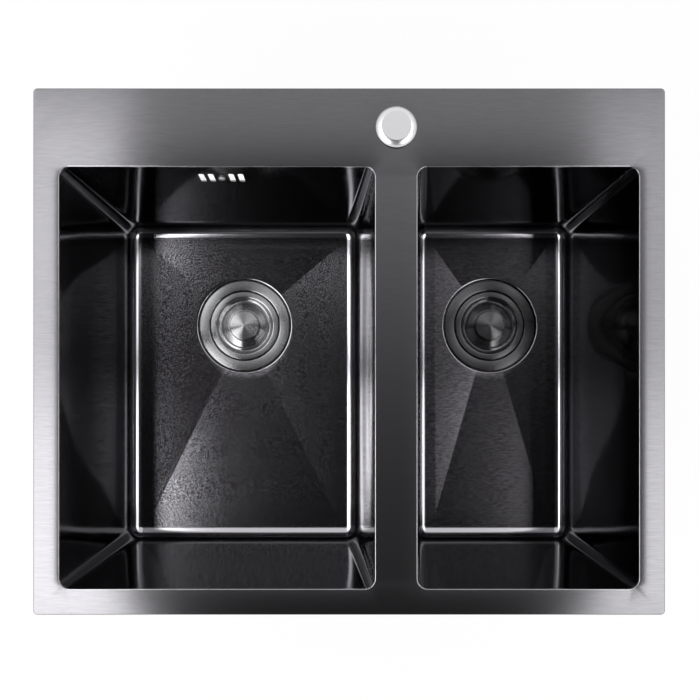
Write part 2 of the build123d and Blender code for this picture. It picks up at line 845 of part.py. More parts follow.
    with BuildPart() as lid_nut:
        nut_bottom = lid_middle - lid_sheet - lid_nut_height
        with BuildSketch(Plane((bowl_x, drain_y, nut_bottom))) as hexagon:
            RegularPolygon(lid_nut_size / 2, 6, major_radius=False)
            Circle(tapped(knob_stud_radius), mode=Mode.SUBTRACT)
        extrude(hexagon.sketch, amount=lid_nut_height)
    write(lid_nut, f"{side}_lid_nut")

# ---------------------------------------------------------------- overflow
overflow_width = 2 * (overflow_first_slot + overflow_slot_pitch + overflow_border)
overflow_width += overflow_slot_width
overflow_height = overflow_slot_height + 2 * overflow_border
wall_outside = Plane(
    (left_x, overflow_wall_y, overflow_level), x_dir=(-1, 0, 0), z_dir=wall_normal
)
wall_inside = wall_outside.offset(-sheet * cos(radians(wall_draft)))
housing_face = wall_outside.offset(overflow_gasket_thickness)
housing_depth = overflow_room + overflow_wall

with BuildPart() as overflow_gasket:
    with BuildSketch(wall_outside) as gasket_outline:
        gasket_width = overflow_width + 2 * overflow_wall
        gasket_height = overflow_height + 2 * overflow_wall
        RectangleRounded(gasket_width, gasket_height, overflow_corner)
        RectangleRounded(
            overflow_width,
            overflow_height,
            overflow_corner - overflow_wall,
            mode=Mode.SUBTRACT,
        )
    extrude(gasket_outline.sketch, amount=overflow_gasket_thickness)
write(overflow_gasket, "overflow_gasket")

with BuildPart() as overflow_housing:
    with BuildSketch(housing_face) as housing_outline:
        RectangleRounded(
            overflow_width + 2 * overflow_wall, overflow_height + 2 * overflow_wall, overflow_corner
        )
    extrude(housing_outline.sketch, amount=housing_depth)
    # The spigot is wider than the housing is deep, so it hangs from a round bulge.
    bulge_radius = hose_radius + hose_collar / 2
    bulge_top = overflow_level - overflow_boss_radius
    bulge_bottom = overflow_level - overflow_height / 2 - overflow_wall - hose_collar_length
    spigot_end = bulge_bottom - hose_length
    spigot_at = (left_x, overflow_wall_y + overflow_gasket_thickness + seat_gap + bulge_radius)
    disc(bulge_radius, bulge_bottom, bulge_top, spigot_at)
    disc(hose_radius, spigot_end, bulge_bottom, spigot_at)
    with BuildSketch(housing_face) as chamber:
        RectangleRounded(overflow_width, overflow_height, overflow_corner - overflow_wall)
    extrude(chamber.sketch, amount=overflow_room, mode=Mode.SUBTRACT)
    disc(hose_bore, spigot_end, bulge_top - overflow_wall, spigot_at, Mode.SUBTRACT)
    with BuildSketch(housing_face) as boss:
        Circle(overflow_boss_radius)
    extrude(boss.sketch, amount=housing_depth)
    with BuildSketch(housing_face) as boss_hole:
        Circle(tapped(overflow_screw_radius))
    extrude(boss_hole.sketch, amount=overflow_room, mode=Mode.SUBTRACT)
write(overflow_housing, "overflow_housing")

with BuildPart() as overflow_screw:
    with BuildSketch(wall_inside) as head:
        Circle(overflow_screw_head)
    extrude(head.sketch, amount=-overflow_screw_head_height)
    rim_edge = overflow_screw.faces().sort_by(Axis.Y)[0].edges()
    fillet(rim_edge, overflow_screw_head_height / 2)
    with BuildSketch(wall_inside) as shank:
        Circle(overflow_screw_radius)
    extrude(shank.sketch, amount=overflow_screw_length)
write(overflow_screw, "overflow_screw")

# ---------------------------------------------------------------- tap hole cap
tap_axis = (divider_x, tap_y)
cap_base = deck_top + cap_seal_thickness
cap_top = cap_base + cap_height
collar_radius = tap_hole_radius - seat_gap
collar_end = deck_top - deck_thickness / 2
stem_end = deck_underside - cap_stem_length
nut_seat = deck_underside - cap_washer_thickness

with BuildPart() as tap_hole_cap:
    section = Plane((*tap_axis, 0), x_dir=(1, 0, 0), z_dir=(0, -1, 0))
    with BuildSketch(section) as cap_profile:
        with BuildLine():
            shoulder = (cap_radius, cap_base + cap_edge)
            RadiusArc(shoulder, (cap_flat_radius, cap_top), -cap_shoulder)
            Polyline(
                (cap_flat_radius, cap_top),
                (0, cap_top),
                (0, stem_end),
                (cap_stem_radius, stem_end),
                (cap_stem_radius, cap_top - cap_wall),
                (collar_radius - cap_collar_wall, cap_top - cap_wall),
                (collar_radius - cap_collar_wall, collar_end),
                (collar_radius, collar_end),
                (collar_radius, cap_base),
                (cap_radius, cap_base),
                shoulder,
            )
        make_face()
    revolve(cap_profile.sketch, axis=Axis((*tap_axis, 0), (0, 0, 1)))
write(tap_hole_cap, "tap_hole_cap")

with BuildPart() as cap_seal:
    ring(tap_hole_radius, cap_radius - seat_gap, deck_top, cap_seal_thickness, tap_axis)
write(cap_seal, "cap_seal")

with BuildPart() as cap_washer:
    washer_hole = cap_stem_radius + loose_gap
    ring(washer_hole, cap_washer_radius, nut_seat, cap_washer_thickness, tap_axis)
write(cap_washer, "cap_washer")

with BuildPart() as cap_nut:
    disc(cap_nut_radius, nut_seat - cap_nut_height, nut_seat, tap_axis)
    nut_section = Plane((*tap_axis, nut_seat), x_dir=(1, 0, 0), z_dir=(0, 1, 0))
    wings(nut_section, cap_nut_radius, cap_nut_span, cap_nut_rise, cap_nut_wing)
    disc(tapped(cap_stem_radius), stem_end, nut_seat, tap_axis, Mode.SUBTRACT)
write(cap_nut, "cap_nut")
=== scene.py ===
# %% [markdown]
# # A double bowl kitchen sink in gunmetal steel
#
# The real sink is a brushed plate, set into a worktop, with two drawn bowls welded under it. Each
# bowl has a strainer waste with a spun lid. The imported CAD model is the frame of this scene: it says
# where every piece is, and this script only gives the pieces their finish, and finer meshes where
# the finish shows the shape.

# %% Load the frame
import json
from math import cos, pi, radians, sin, tan

import bmesh
import bpy
from mathutils import Matrix, Vector


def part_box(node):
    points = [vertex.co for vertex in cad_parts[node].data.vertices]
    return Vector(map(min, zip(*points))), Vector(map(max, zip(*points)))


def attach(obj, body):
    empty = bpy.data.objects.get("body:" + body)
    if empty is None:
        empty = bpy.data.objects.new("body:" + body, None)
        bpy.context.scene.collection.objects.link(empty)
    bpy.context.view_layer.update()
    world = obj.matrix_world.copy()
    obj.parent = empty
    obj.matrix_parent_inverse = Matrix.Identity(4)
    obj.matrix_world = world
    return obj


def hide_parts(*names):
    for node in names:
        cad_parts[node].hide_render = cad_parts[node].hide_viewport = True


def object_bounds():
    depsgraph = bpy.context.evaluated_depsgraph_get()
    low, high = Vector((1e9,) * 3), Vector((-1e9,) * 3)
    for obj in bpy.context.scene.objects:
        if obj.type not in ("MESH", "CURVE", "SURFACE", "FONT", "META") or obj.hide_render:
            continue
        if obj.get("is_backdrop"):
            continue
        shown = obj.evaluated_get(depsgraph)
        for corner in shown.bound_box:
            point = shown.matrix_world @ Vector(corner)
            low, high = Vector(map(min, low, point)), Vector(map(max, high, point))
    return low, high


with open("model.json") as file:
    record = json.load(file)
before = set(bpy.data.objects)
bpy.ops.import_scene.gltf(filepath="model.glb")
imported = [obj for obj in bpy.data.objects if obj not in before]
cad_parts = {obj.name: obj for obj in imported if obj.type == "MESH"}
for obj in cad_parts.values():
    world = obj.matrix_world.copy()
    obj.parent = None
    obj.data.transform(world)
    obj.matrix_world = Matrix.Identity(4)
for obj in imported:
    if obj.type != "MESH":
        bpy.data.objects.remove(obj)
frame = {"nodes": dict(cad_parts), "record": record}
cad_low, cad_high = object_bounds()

nodes = frame["nodes"]
uv_name = "turning"            # the map that gives the brushed finishes their direction
mm = 0.001
size_mm = [round((high - low) / mm, 1) for low, high in zip(cad_low, cad_high)]
print("CAD size in mm:", size_mm, "with", len(nodes), "nodes")

# %% [markdown]
# ## Colours and nodes
#
# Colours are written as sRGB hex, as a paint shop gives them, and Cycles works in linear light, so
# one function turns them over. Another adds any kind of node with its settings and links, so that a
# material reads from top to bottom like a recipe. A node that feeds an input may be given as it is:
# then its first output is meant.


# %% Colours
def linear(hex_colour):
    """Linear RGBA of an sRGB hex colour."""
    channels = [int(hex_colour[start:start + 2], 16) / 255 for start in (1, 3, 5)]
    return [c / 12.92 if c <= 0.04045 else ((c + 0.055) / 1.055) ** 2.4 for c in channels] + [1.0]


print("middle grey #808080 is", round(linear("#808080")[0], 3), "in linear light")


# %% Nodes
def feed(made, links):
    """Sets a node's inputs, each to a value, an output or the first output of a node."""
    for key, value in links.items():
        if isinstance(value, bpy.types.Node):
            value = value.outputs[0]
        if isinstance(value, bpy.types.NodeSocket):
            made.id_data.links.new(value, made.inputs[key])
        else:
            made.inputs[key].default_value = value


def node(tree, kind, links=None, **settings):
    """Adds a node with its settings and feeds its inputs."""
    made = tree.nodes.new(kind)
    for name, value in settings.items():
        setattr(made, name, value)
    feed(made, links or {})
    return made


# %% [markdown]
# A Mix node has a pair of inputs for each kind of value, so numbers and colours have their own
# places in it. A noise pattern lies mostly between 0.3 and 0.7, and a Map Range node stretches that
# to the values that a finish needs. Grain is given in millimetres, as it is on the real surface.

# %% What the nodes are given
first_number, second_number = 2, 3
first_colour, second_colour, mixed_colour = 6, 7, 2
noise_low, noise_high = 0.3, 0.7


def tones(factor, first, second):
    """Inputs of a Mix node that goes from one hex colour to another."""
    return {"Factor": factor, first_colour: linear(first), second_colour: linear(second)}


def span(value, low, high, from_low=noise_low, from_high=noise_high):
    """Inputs of a Map Range node that turns from_low..from_high into low..high."""
    ends = {"From Min": from_low, "From Max": from_high, "To Min": low, "To Max": high}
    return {"Value": value, **ends}


def grain_pattern(tree, grain, detail=2.0):
    """Noise in object space whose features are grain = (x, y, z) millimetres long."""
    place = node(tree, "ShaderNodeTexCoord").outputs["Object"]
    scale = [1 / (size * mm) for size in grain]
    spread = node(tree, "ShaderNodeMapping", {"Vector": place, "Scale": scale})
    return node(tree, "ShaderNodeTexNoise", {"Vector": spread, "Scale": 1.0, "Detail": detail})


def surface(name, links):
    """A material with one Principled BSDF; gives the material, its tree and the shader."""
    made = bpy.data.materials.new(name)
    made.use_nodes = True
    tree = made.node_tree
    tree.nodes.clear()
    skin = node(tree, "ShaderNodeBsdfPrincipled", links)
    node(tree, "ShaderNodeOutputMaterial", {"Surface": skin})
    return made, tree, skin


def vary(tree, skin, pattern, dark, pale, rough=None, depth=None, strong=False):
    """Lets a pattern vary a finish: its tone, its roughness (low, high) and its depth in mm.

    A strong pattern reaches both tones. Any other stays nearer to their middle.
    """
    factor = node(tree, "ShaderNodeMapRange", span(pattern, 0, 1)) if strong else pattern
    tone = node(tree, "ShaderNodeMix", tones(factor, dark, pale), data_type="RGBA")
    feed(skin, {"Base Color": tone.outputs[mixed_colour]})
    if rough:
        feed(skin, {"Roughness": node(tree, "ShaderNodeMapRange", span(pattern, *rough))})
    if depth:
        relief = {"Height": pattern, "Distance": depth * mm, "Strength": 1.0}
        feed(skin, {"Normal": node(tree, "ShaderNodeBump", relief)})


# %% [markdown]
# ## Camera, floor and light
#
# The photograph looks straight down from about 0.8 m, with the lens a little in front of the sink's
# middle. A dark metal shows the room more than its own colour, so the light is a photographer's: on
# each side a large softbox with two reflectors behind it, which give the fillets their white lines,
# and a room that is pale behind the sink and dark elsewhere.

# %% Camera
camera_height = 785 * mm      # above the deck
camera_x = -3 * mm
camera_y = -47 * mm
focal_px = 827                # of a picture 700 pixels wide
picture_px = 700
axis_px = (346, 401)          # where the camera's axis meets the picture
sensor_mm = 36

deck_low, deck_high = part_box("deck_plate")
camera_data = bpy.data.cameras.new("studio_camera")
camera_data.sensor_width = sensor_mm
camera_data.lens = focal_px / picture_px * sensor_mm
camera_data.shift_x = 0.5 - axis_px[0] / picture_px
camera_data.shift_y = axis_px[1] / picture_px - 0.5
camera = bpy.data.objects.new("studio_camera", camera_data)
camera.location = (camera_x, camera_y, deck_high.z + camera_height)
bpy.context.scene.collection.objects.link(camera)
bpy.context.scene.camera = camera
bpy.context.scene.view_settings.view_transform = "Standard"
print("lens", round(camera_data.lens, 1), "mm, shift", round(camera_data.shift_y, 3))

# %% Floor
floor_half = 4.0              # metres
paper_glow = 0.94             # share of the paper that the camera sees as plain white

floor_corners = ((-1, -1), (1, -1), (1, 1), (-1, 1))
floor_mesh = bpy.data.meshes.new("studio_floor")
floor_mesh.from_pydata(
    [(x * floor_half, y * floor_half, cad_low.z) for x, y in floor_corners], [], [(0, 1, 2, 3)]
)
floor = bpy.data.objects.new("studio_floor", floor_mesh)
bpy.context.scene.collection.objects.link(floor)
floor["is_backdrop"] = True


def white_paper():
    """Matt studio paper. The camera and reflections see it near white, with the object's shadow."""
    made = bpy.data.materials.new("white_studio_paper")
    made.use_nodes = True
    tree = made.node_tree
    tree.nodes.clear()
    path = node(tree, "ShaderNodeLightPath").outputs
    rays = {0: path["Is Camera Ray"], 1: path["Is Glossy Ray"]}
    seen = node(tree, "ShaderNodeMath", rays, operation="MAXIMUM")
    share = node(tree, "ShaderNodeMath", {0: seen, 1: paper_glow}, operation="MULTIPLY")
    fibres = tones(grain_pattern(tree, (3, 3, 3)), "#e9e9e9", "#eeeeee")
    paper = node(tree, "ShaderNodeMix", fibres, data_type="RGBA")
    matt = node(tree, "ShaderNodeBsdfDiffuse", {"Color": paper.outputs[mixed_colour]})
    glow = node(tree, "ShaderNodeEmission", {"Color": (1, 1, 1, 1), "Strength": 1.0})
    both = node(tree, "ShaderNodeMixShader", {"Fac": share, 1: matt, 2: glow})
    node(tree, "ShaderNodeOutputMaterial", {"Surface": both})
    return made


floor_mesh.materials.append(white_paper())
print("floor at", round(cad_low.z / mm, 1), "mm")

# %% Lights
light_height = 0.9            # above the worktop; all measures of the lights are in metres
left_side, right_side = (-1.40, -0.45), (0.50, 1.40)
beside, behind, far_behind = (-1.00, 0.00), (0.10, 0.45), (0.45, 0.85)
lights = [
    ("left_softbox", left_side, beside, 5.6),
    ("left_reflector", left_side, behind, 3.2),
    ("left_rear_reflector", left_side, far_behind, 1.6),
    ("right_softbox", right_side, beside, 3.8),
    ("right_reflector", right_side, behind, 1.7),
    ("right_rear_reflector", right_side, far_behind, 0.9),
]
for name, (west, east), (south, north), radiance in lights:
    width, depth = east - west, north - south
    light = bpy.data.lights.new(name, "AREA")
    light.shape = "RECTANGLE"
    light.size, light.size_y = width, depth
    light.energy = radiance * pi * width * depth
    lamp = bpy.data.objects.new(name, light)
    lamp.location = ((west + east) / 2, (south + north) / 2, light_height)
    bpy.context.scene.collection.objects.link(lamp)
print(len(lights), "area lights")

# %% Room
lowest_ray = 0.05             # keeps the slope of a level ray from running off to infinity
rear_edge = (0.12, 0.22)      # slope, back over up, at which the pale rear begins
canopy_edge = (0.40, 0.55)    # height of a ray at which the dark canopy begins


def studio_room():
    """A far room: pale behind the sink and along the floor, with a dark canopy over the rest."""
    made = bpy.data.worlds.new("studio_room")
    made.use_nodes = True
    tree = made.node_tree
    tree.nodes.clear()
    way = node(tree, "ShaderNodeTexCoord").outputs["Generated"]
    parts = node(tree, "ShaderNodeSeparateXYZ", {"Vector": way}).outputs
    height = node(tree, "ShaderNodeMath", {0: parts["Z"], 1: lowest_ray}, operation="MAXIMUM")
    slope = node(tree, "ShaderNodeMath", {0: parts["Y"], 1: height}, operation="DIVIDE")
    rear = node(tree, "ShaderNodeMapRange", span(slope, 0, 1, *rear_edge))
    skirting = node(tree, "ShaderNodeMapRange", span(parts["Z"], 1, 0, *canopy_edge))
    pale = node(tree, "ShaderNodeMath", {0: rear, 1: skirting}, operation="MAXIMUM")
    shade = node(tree, "ShaderNodeMix", tones(pale, "#262627", "#f4f4f4"), data_type="RGBA")
    glow = {"Color": shade.outputs[mixed_colour], "Strength": 1.0}
    node(tree, "ShaderNodeOutputWorld", {"Surface": node(tree, "ShaderNodeBackground", glow)})
    return made


bpy.context.scene.world = studio_room()
print("room:", bpy.context.scene.world.name)

# %% [markdown]
# ## Mesh helpers
#
# Two shapes make nearly everything here. A spun piece is a profile turned about the drain's axis.
# A drawn bowl is a stack of rounded rectangles that all have the same number of points, so that
# neighbouring rings join into quads. Both carry a UV map whose U runs round the piece, and the
# brushed finishes read their direction from it.

# %% Turn points and faces into pieces
same_point = 1e-7             # metres; points nearer than this are one


def piece(name, bm, material, sharp=35):
    """Makes an object of a bmesh, smooth except at edges over sharp degrees."""
    mesh = bpy.data.meshes.new(name)
    for face in bm.faces:
        face.smooth = True
    bm.to_mesh(mesh)
    bm.free()
    mesh.set_sharp_from_angle(angle=radians(sharp))
    mesh.materials.append(material)
    made = bpy.data.objects.new(name, mesh)
    bpy.context.scene.collection.objects.link(made)
    return made


def join_rings(bm, rings):
    """Quads between rings of points; U runs round each ring and V from ring to ring."""
    uv = bm.loops.layers.uv.get(uv_name) or bm.loops.layers.uv.new(uv_name)
    rows = [[bm.verts.new(point) for point in ring] for ring in rings]
    count = len(rows[0])
    for level, (near, far) in enumerate(zip(rows, rows[1:])):
        for i in range(count):
            j = (i + 1) % count
            face = bm.faces.new((near[i], near[j], far[j], far[i]))
            corners = ((i, level), (i + 1, level), (i + 1, level + 1), (i, level + 1))
            for loop, (u, v) in zip(face.loops, corners):
                loop[uv].uv = (u / count, v / len(rows))


def hand_over(made, body, slot, *replaced):
    """Rides a piece on its body and lets it stand for CAD nodes."""
    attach(made, body)
    if replaced:
        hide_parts(*replaced)
    print(made.name, "has", len(made.data.polygons), "faces")


# %% Spin a profile
def softened(profile, radius, steps):
    """The profile with its corners rounded, apart from its ends."""
    points = [Vector(point) for point in profile]
    result = [points[0]]
    for before, corner, after in zip(points, points[1:], points[2:]):
        reach = min(radius, (before - corner).length / 2, (after - corner).length / 2)
        start = corner + (before - corner).normalized() * reach
        end = corner + (after - corner).normalized() * reach
        for step in range(steps + 1):
            t = step / steps
            result.append(start * (1 - t) ** 2 + corner * 2 * t * (1 - t) + end * t ** 2)
    return result + [points[-1]]


def spun(name, profile, axis, material, around=128, sharp=35):
    """A profile of (radius, level) millimetres, turned about an upright axis."""
    bm = bmesh.new()
    turns = [2 * pi * i / around for i in range(around)]
    rings = [
        [(axis[0] + r * mm * cos(a), axis[1] + r * mm * sin(a), z * mm) for a in turns]
        for r, z in profile
    ]
    join_rings(bm, rings)
    bmesh.ops.remove_doubles(bm, verts=bm.verts, dist=same_point)
    bmesh.ops.recalc_face_normals(bm, faces=bm.faces)
    return piece(name, bm, material, sharp)


# %% [markdown]
# ## Brushed gunmetal deck
#
# The deck is stainless steel with a dark gunmetal coating, brushed along its length before it is
# coated. Brushing leaves grooves that spread a reflection across them, so the finish is an
# anisotropic metal whose direction comes from the UV map, with faint long streaks over it. The
# streaks are drawn about a millimetre wide, coarser than real brushing, so that they show.


# %% Deck finish
def brushed_gunmetal():
    """Dark coated steel, brushed along X: a soft sheen, drawn out across the brushing."""
    made, tree, skin = surface(
        "brushed_gunmetal_steel",
        {"Metallic": 1.0, "Roughness": 0.245, "Anisotropic": 0.83, "Anisotropic Rotation": 0.25},
    )
    direction = node(tree, "ShaderNodeTangent", direction_type="UV_MAP", uv_map=uv_name)
    feed(skin, {"Tangent": direction})
    streaks = grain_pattern(tree, (14, 0.8, 0.8), detail=1)
    vary(tree, skin, streaks, "#706f72", "#767578", strong=True)
    return made


def polished_edge():
    """The bare ground edge round each bowl, which catches the light as a fine line."""
    made, tree, skin = surface("ground_gunmetal_edge", {"Metallic": 1.0})
    scratches = grain_pattern(tree, (12, 12, 1))
    vary(tree, skin, scratches, "#9b999c", "#b5b3b6", rough=(0.16, 0.24))
    return made


deck_finish, edge_finish = brushed_gunmetal(), polished_edge()
print("finishes:", deck_finish.name, "and", edge_finish.name)

# %% [markdown]
# The deck is a flat plate with rounded openings. It could be cut from a block with Booleans, but
# those leave long thin faces at the edges, where the light shows them. So its faces come from filling
# between closed loops, and each loop has its own small edge section: a soft bevel outside, and a
# tight ground radius round the bowls.

# %% Rounded rectangles
corner_steps = 10
long_steps, short_steps = 24, 18


def rounded_ring(centre, width, length, corner, level):
    """Points round a rounded rectangle, counterclockwise, as many for every size."""
    points = []
    half = (width / 2 - corner, length / 2 - corner)
    turns = ((1, 1, 0), (-1, 1, 90), (-1, -1, 180), (1, -1, 270))
    for index, (sx, sy, start) in enumerate(turns):
        hub = (centre[0] + sx * half[0], centre[1] + sy * half[1])
        for step in range(corner_steps + 1):
            a = radians(start + 90 * step / corner_steps)
            points.append(Vector((hub[0] + corner * cos(a), hub[1] + corner * sin(a), level)))
        nx, ny, turn = turns[(index + 1) % 4]
        goal = Vector((centre[0] + nx * half[0], centre[1] + ny * half[1], level))
        goal += corner * Vector((cos(radians(turn)), sin(radians(turn)), 0))
        start_point = points[-1].copy()
        steps = short_steps if index % 2 == 0 else long_steps
        points += [start_point.lerp(goal, step / steps) for step in range(1, steps)]
    return points


def edge_section(radius, steps=4):
    """A quarter-round edge as (inset, drop) pairs, from the side to the top."""
    turns = [radians(90 * step / steps) for step in range(steps + 1)]
    return [(radius * (1 - cos(a)), radius * (1 - sin(a))) for a in turns]


# %% Openings
weld_lip = 3.5 * mm


def plan_box(name):
    """Middle, width and length of a node, seen from above."""
    low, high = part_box(name)
    return ((low.x + high.x) / 2, (low.y + high.y) / 2), high.x - low.x, high.y - low.y


bowl_openings = {}
for side in ("left", "right"):
    middle, width, length = plan_box(f"{side}_bowl")
    bowl_openings[side] = (middle, width - 2 * weld_lip, length - 2 * weld_lip)
    print(side, "opening in mm:", [round(reach / mm, 1) for reach in bowl_openings[side][1:]])

cap_low, cap_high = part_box("tap_hole_cap")
tap_axis, _, _ = plan_box("tap_hole_cap")

# %% Deck outlines
opening_corner = 10 * mm
deck_corner = 4 * mm
deck_bevel = 0.9 * mm
ground_radius = 0.8 * mm
tap_hole = 17.5 * mm
tap_hole_points = 96


def deck_outlines():
    """The rings of each edge of the plate, bottom first, with the edge's material slot."""
    top, bottom = deck_high.z, deck_low.z
    deck_middle, width, length = plan_box("deck_plate")
    rings = [rounded_ring(deck_middle, width, length, deck_corner, bottom)]
    for inset, drop in edge_section(deck_bevel):
        size = (width - 2 * inset, length - 2 * inset)
        rings.append(rounded_ring(deck_middle, *size, deck_corner - inset, top - drop))
    outlines = [(rings, 0)]
    for middle, w, l in bowl_openings.values():
        rings = [rounded_ring(middle, w, l, opening_corner, bottom)]
        for out, drop in edge_section(ground_radius):
            size = (w + 2 * out, l + 2 * out)
            rings.append(rounded_ring(middle, *size, opening_corner + out, top - drop))
        outlines.append((rings, 1))
    turns = [2 * pi * i / tap_hole_points for i in range(tap_hole_points)]
    circle = [(tap_axis[0] + tap_hole * cos(a), tap_axis[1] + tap_hole * sin(a)) for a in turns]
    outlines.append(([[(x, y, z) for x, y in circle] for z in (bottom, top)], 0))
    return outlines


outlines = deck_outlines()
print("the deck has", len(outlines), "closed edges")


# %% Deck
def loop_edges(bm, ring):
    """Edges of a closed loop of new points."""
    verts = [bm.verts.new(point) for point in ring]
    return [bm.edges.new((a, b)) for a, b in zip(verts, verts[1:] + verts[:1])]


def deck_sheet():
    """The plate, with the bevel outside and ground radii at the openings."""
    bm = bmesh.new()
    for end in (0, -1):
        border = []
        for rings, _ in outlines:
            border += loop_edges(bm, rings[end])
        bmesh.ops.triangle_fill(bm, use_beauty=True, edges=border)
    for rings, slot in outlines:
        before = set(bm.faces)
        join_rings(bm, rings)
        for face in set(bm.faces) - before:
            face.material_index = slot
    bmesh.ops.remove_doubles(bm, verts=bm.verts, dist=same_point)
    bmesh.ops.recalc_face_normals(bm, faces=bm.faces)
    uv = bm.loops.layers.uv[uv_name]
    for face in bm.faces:
        for loop in face.loops:
            loop[uv].uv = (loop.vert.co.x, loop.vert.co.y)
    return bm


deck = piece("brushed_deck", deck_sheet(), deck_finish, sharp=50)
deck.data.materials.append(edge_finish)
hand_over(deck, "sink", "gunmetal_deck", "deck_plate")

# %% [markdown]
# ## Drawn bowls
#
# A bowl is pressed from one sheet, so its walls run without a seam through a fillet into the floor.
# The walls and fillets are polished like a black mirror, and the lower fillets carry a pale painted
# highlight that whitens their lines. The floor is left satin, and four pressed creases lead the water
# to the drain, which sits in a round step. Steep and level parts of one sheet have these two
# finishes, so the material tells them apart by how far the surface leans.

# %% Bowl finish
level_satin = (0.975, 0.992)  # upright part of the normal at which a mirror turns into satin
mirror_rough = (0.08, 0.11)
fillet_rough = 0.15
satin_spread = 0.02           # of the floor's roughness, to either side


def pressed_gunmetal(name, grain, dark, pale, depth, rough):
    """Mirror walls and a satin floor, whose grain has its size and depth in millimetres.

    The walls give clear dark reflections that swim a little, and the floor glitters softly. A pale
    tone on the lower fillets is a painted highlight, which whitens their lines.
    """
    made, tree, skin = surface(name, {"Metallic": 1.0, "Specular Tint": linear("#d0d0d0")})
    lean = node(tree, "ShaderNodeNewGeometry").outputs["Normal"]
    upright = node(tree, "ShaderNodeSeparateXYZ", {"Vector": lean}).outputs["Z"]
    satin = node(tree, "ShaderNodeMapRange", span(upright, 0.0, 1.0, *level_satin))
    fillet_gloss_and_painted_highlight = node(tree, "ShaderNodeMapRange", span(upright, 0.0, 1.0, 0.2, 0.5))
    speckle = grain_pattern(tree, grain, detail=1)
    waves = grain_pattern(tree, (70, 70, 45), detail=1)

    grains = node(tree, "ShaderNodeMapRange", span(speckle, 0, 1, 0.4, 0.6))
    floor_tone = node(tree, "ShaderNodeMix", tones(grains, dark, pale), data_type="RGBA")
    # A pale tone on the lower fillets is a painted highlight: it whitens their lines of light.
    wall_tone_and_painted_highlight = node(tree, "ShaderNodeMix", tones(fillet_gloss_and_painted_highlight, "#565658", "#c2c0c5"), data_type="RGBA")
    both_tones = {
        "Factor": satin,
        first_colour: wall_tone_and_painted_highlight.outputs[mixed_colour],
        second_colour: floor_tone.outputs[mixed_colour],
    }
    tone = node(tree, "ShaderNodeMix", both_tones, data_type="RGBA")

    mirror = node(tree, "ShaderNodeMapRange", span(waves, *mirror_rough))
    polish = {"Factor": fillet_gloss_and_painted_highlight, first_number: mirror, second_number: fillet_rough}
    matt = span(speckle, rough - satin_spread, rough + satin_spread)
    roughness = {
        "Factor": satin,
        first_number: node(tree, "ShaderNodeMix", polish),
        second_number: node(tree, "ShaderNodeMapRange", matt),
    }
    grit = node(tree, "ShaderNodeMath", {0: speckle, 1: satin}, operation="MULTIPLY")
    relief = {"Height": grit, "Distance": depth * mm, "Strength": 1.0}
    feed(
        skin,
        {
            "Base Color": tone.outputs[mixed_colour],
            "Roughness": node(tree, "ShaderNodeMix", roughness),
            "Normal": node(tree, "ShaderNodeBump", relief),
        },
    )
    return made


# %% Both bowls' finishes
def bare_stainless():
    """The outside of a drawn bowl, grey and slightly cloudy from the press."""
    made, tree, skin = surface("drawn_bare_stainless", {"Metallic": 1.0})
    cloud = grain_pattern(tree, (40, 40, 60), detail=4)
    vary(tree, skin, cloud, "#8d8e90", "#a3a4a6", rough=(0.32, 0.46))
    return made


bowl_finishes = {
    "left": pressed_gunmetal(
        "pressed_gunmetal_grained", (1.1, 1.1, 1.1), "#333235", "#969499", 0.02, 0.18
    ),
    "right": pressed_gunmetal(
        "pressed_gunmetal_brushed", (6, 0.9, 0.9), "#504e52", "#666468", 0.004, 0.22
    ),
}
outside_finish = bare_stainless()
print("finishes:", [finish.name for finish in bowl_finishes.values()], outside_finish.name)

# %% [markdown]
# The bowl's rings follow its section: the welded lip, the drafted wall, the floor fillet, the level
# border, the four falls and the step round the drain. On the falls, each point slides straight
# towards the drain's axis, so that the creases lie along edges of the mesh. Subdivision would round
# the creases off, so the rings are dense enough without it.

# %% Bowl sizes
bowl_depth = 210 * mm
wall_draft = radians(4.5)
floor_fillet = 13 * mm
foot_corner = 13.5 * mm       # corner radius in plan, at the wall's foot
inner_corner = 1.5 * mm       # the same at the fillet's end
border_corner = 1.0 * mm
level_border = 10 * mm
floor_fall = 5 * mm
sheet = 1 * mm
recess_edge = 1.2 * mm        # rolled radius at the step round the drain
recess_gap = 2.0 * mm         # from the strainer's flange to the step
recess_foot = 0.6 * mm
side_bow = 2.0 * mm           # how far a side wall springs outwards after pressing
end_bow = 0.8 * mm
drain_hole = 45 * mm
wall_steps, fillet_steps, fall_steps, edge_steps = 14, 10, 20, 4

floor_level = deck_high.z - bowl_depth
wall_top = deck_low.z
foot_inset = tan(wall_draft) * (wall_top - floor_level)
floor_inset = foot_inset + floor_fillet * tan(radians(45) - wall_draft / 2)
print("floor", round(floor_inset / mm, 1), "mm inside the opening on each side")


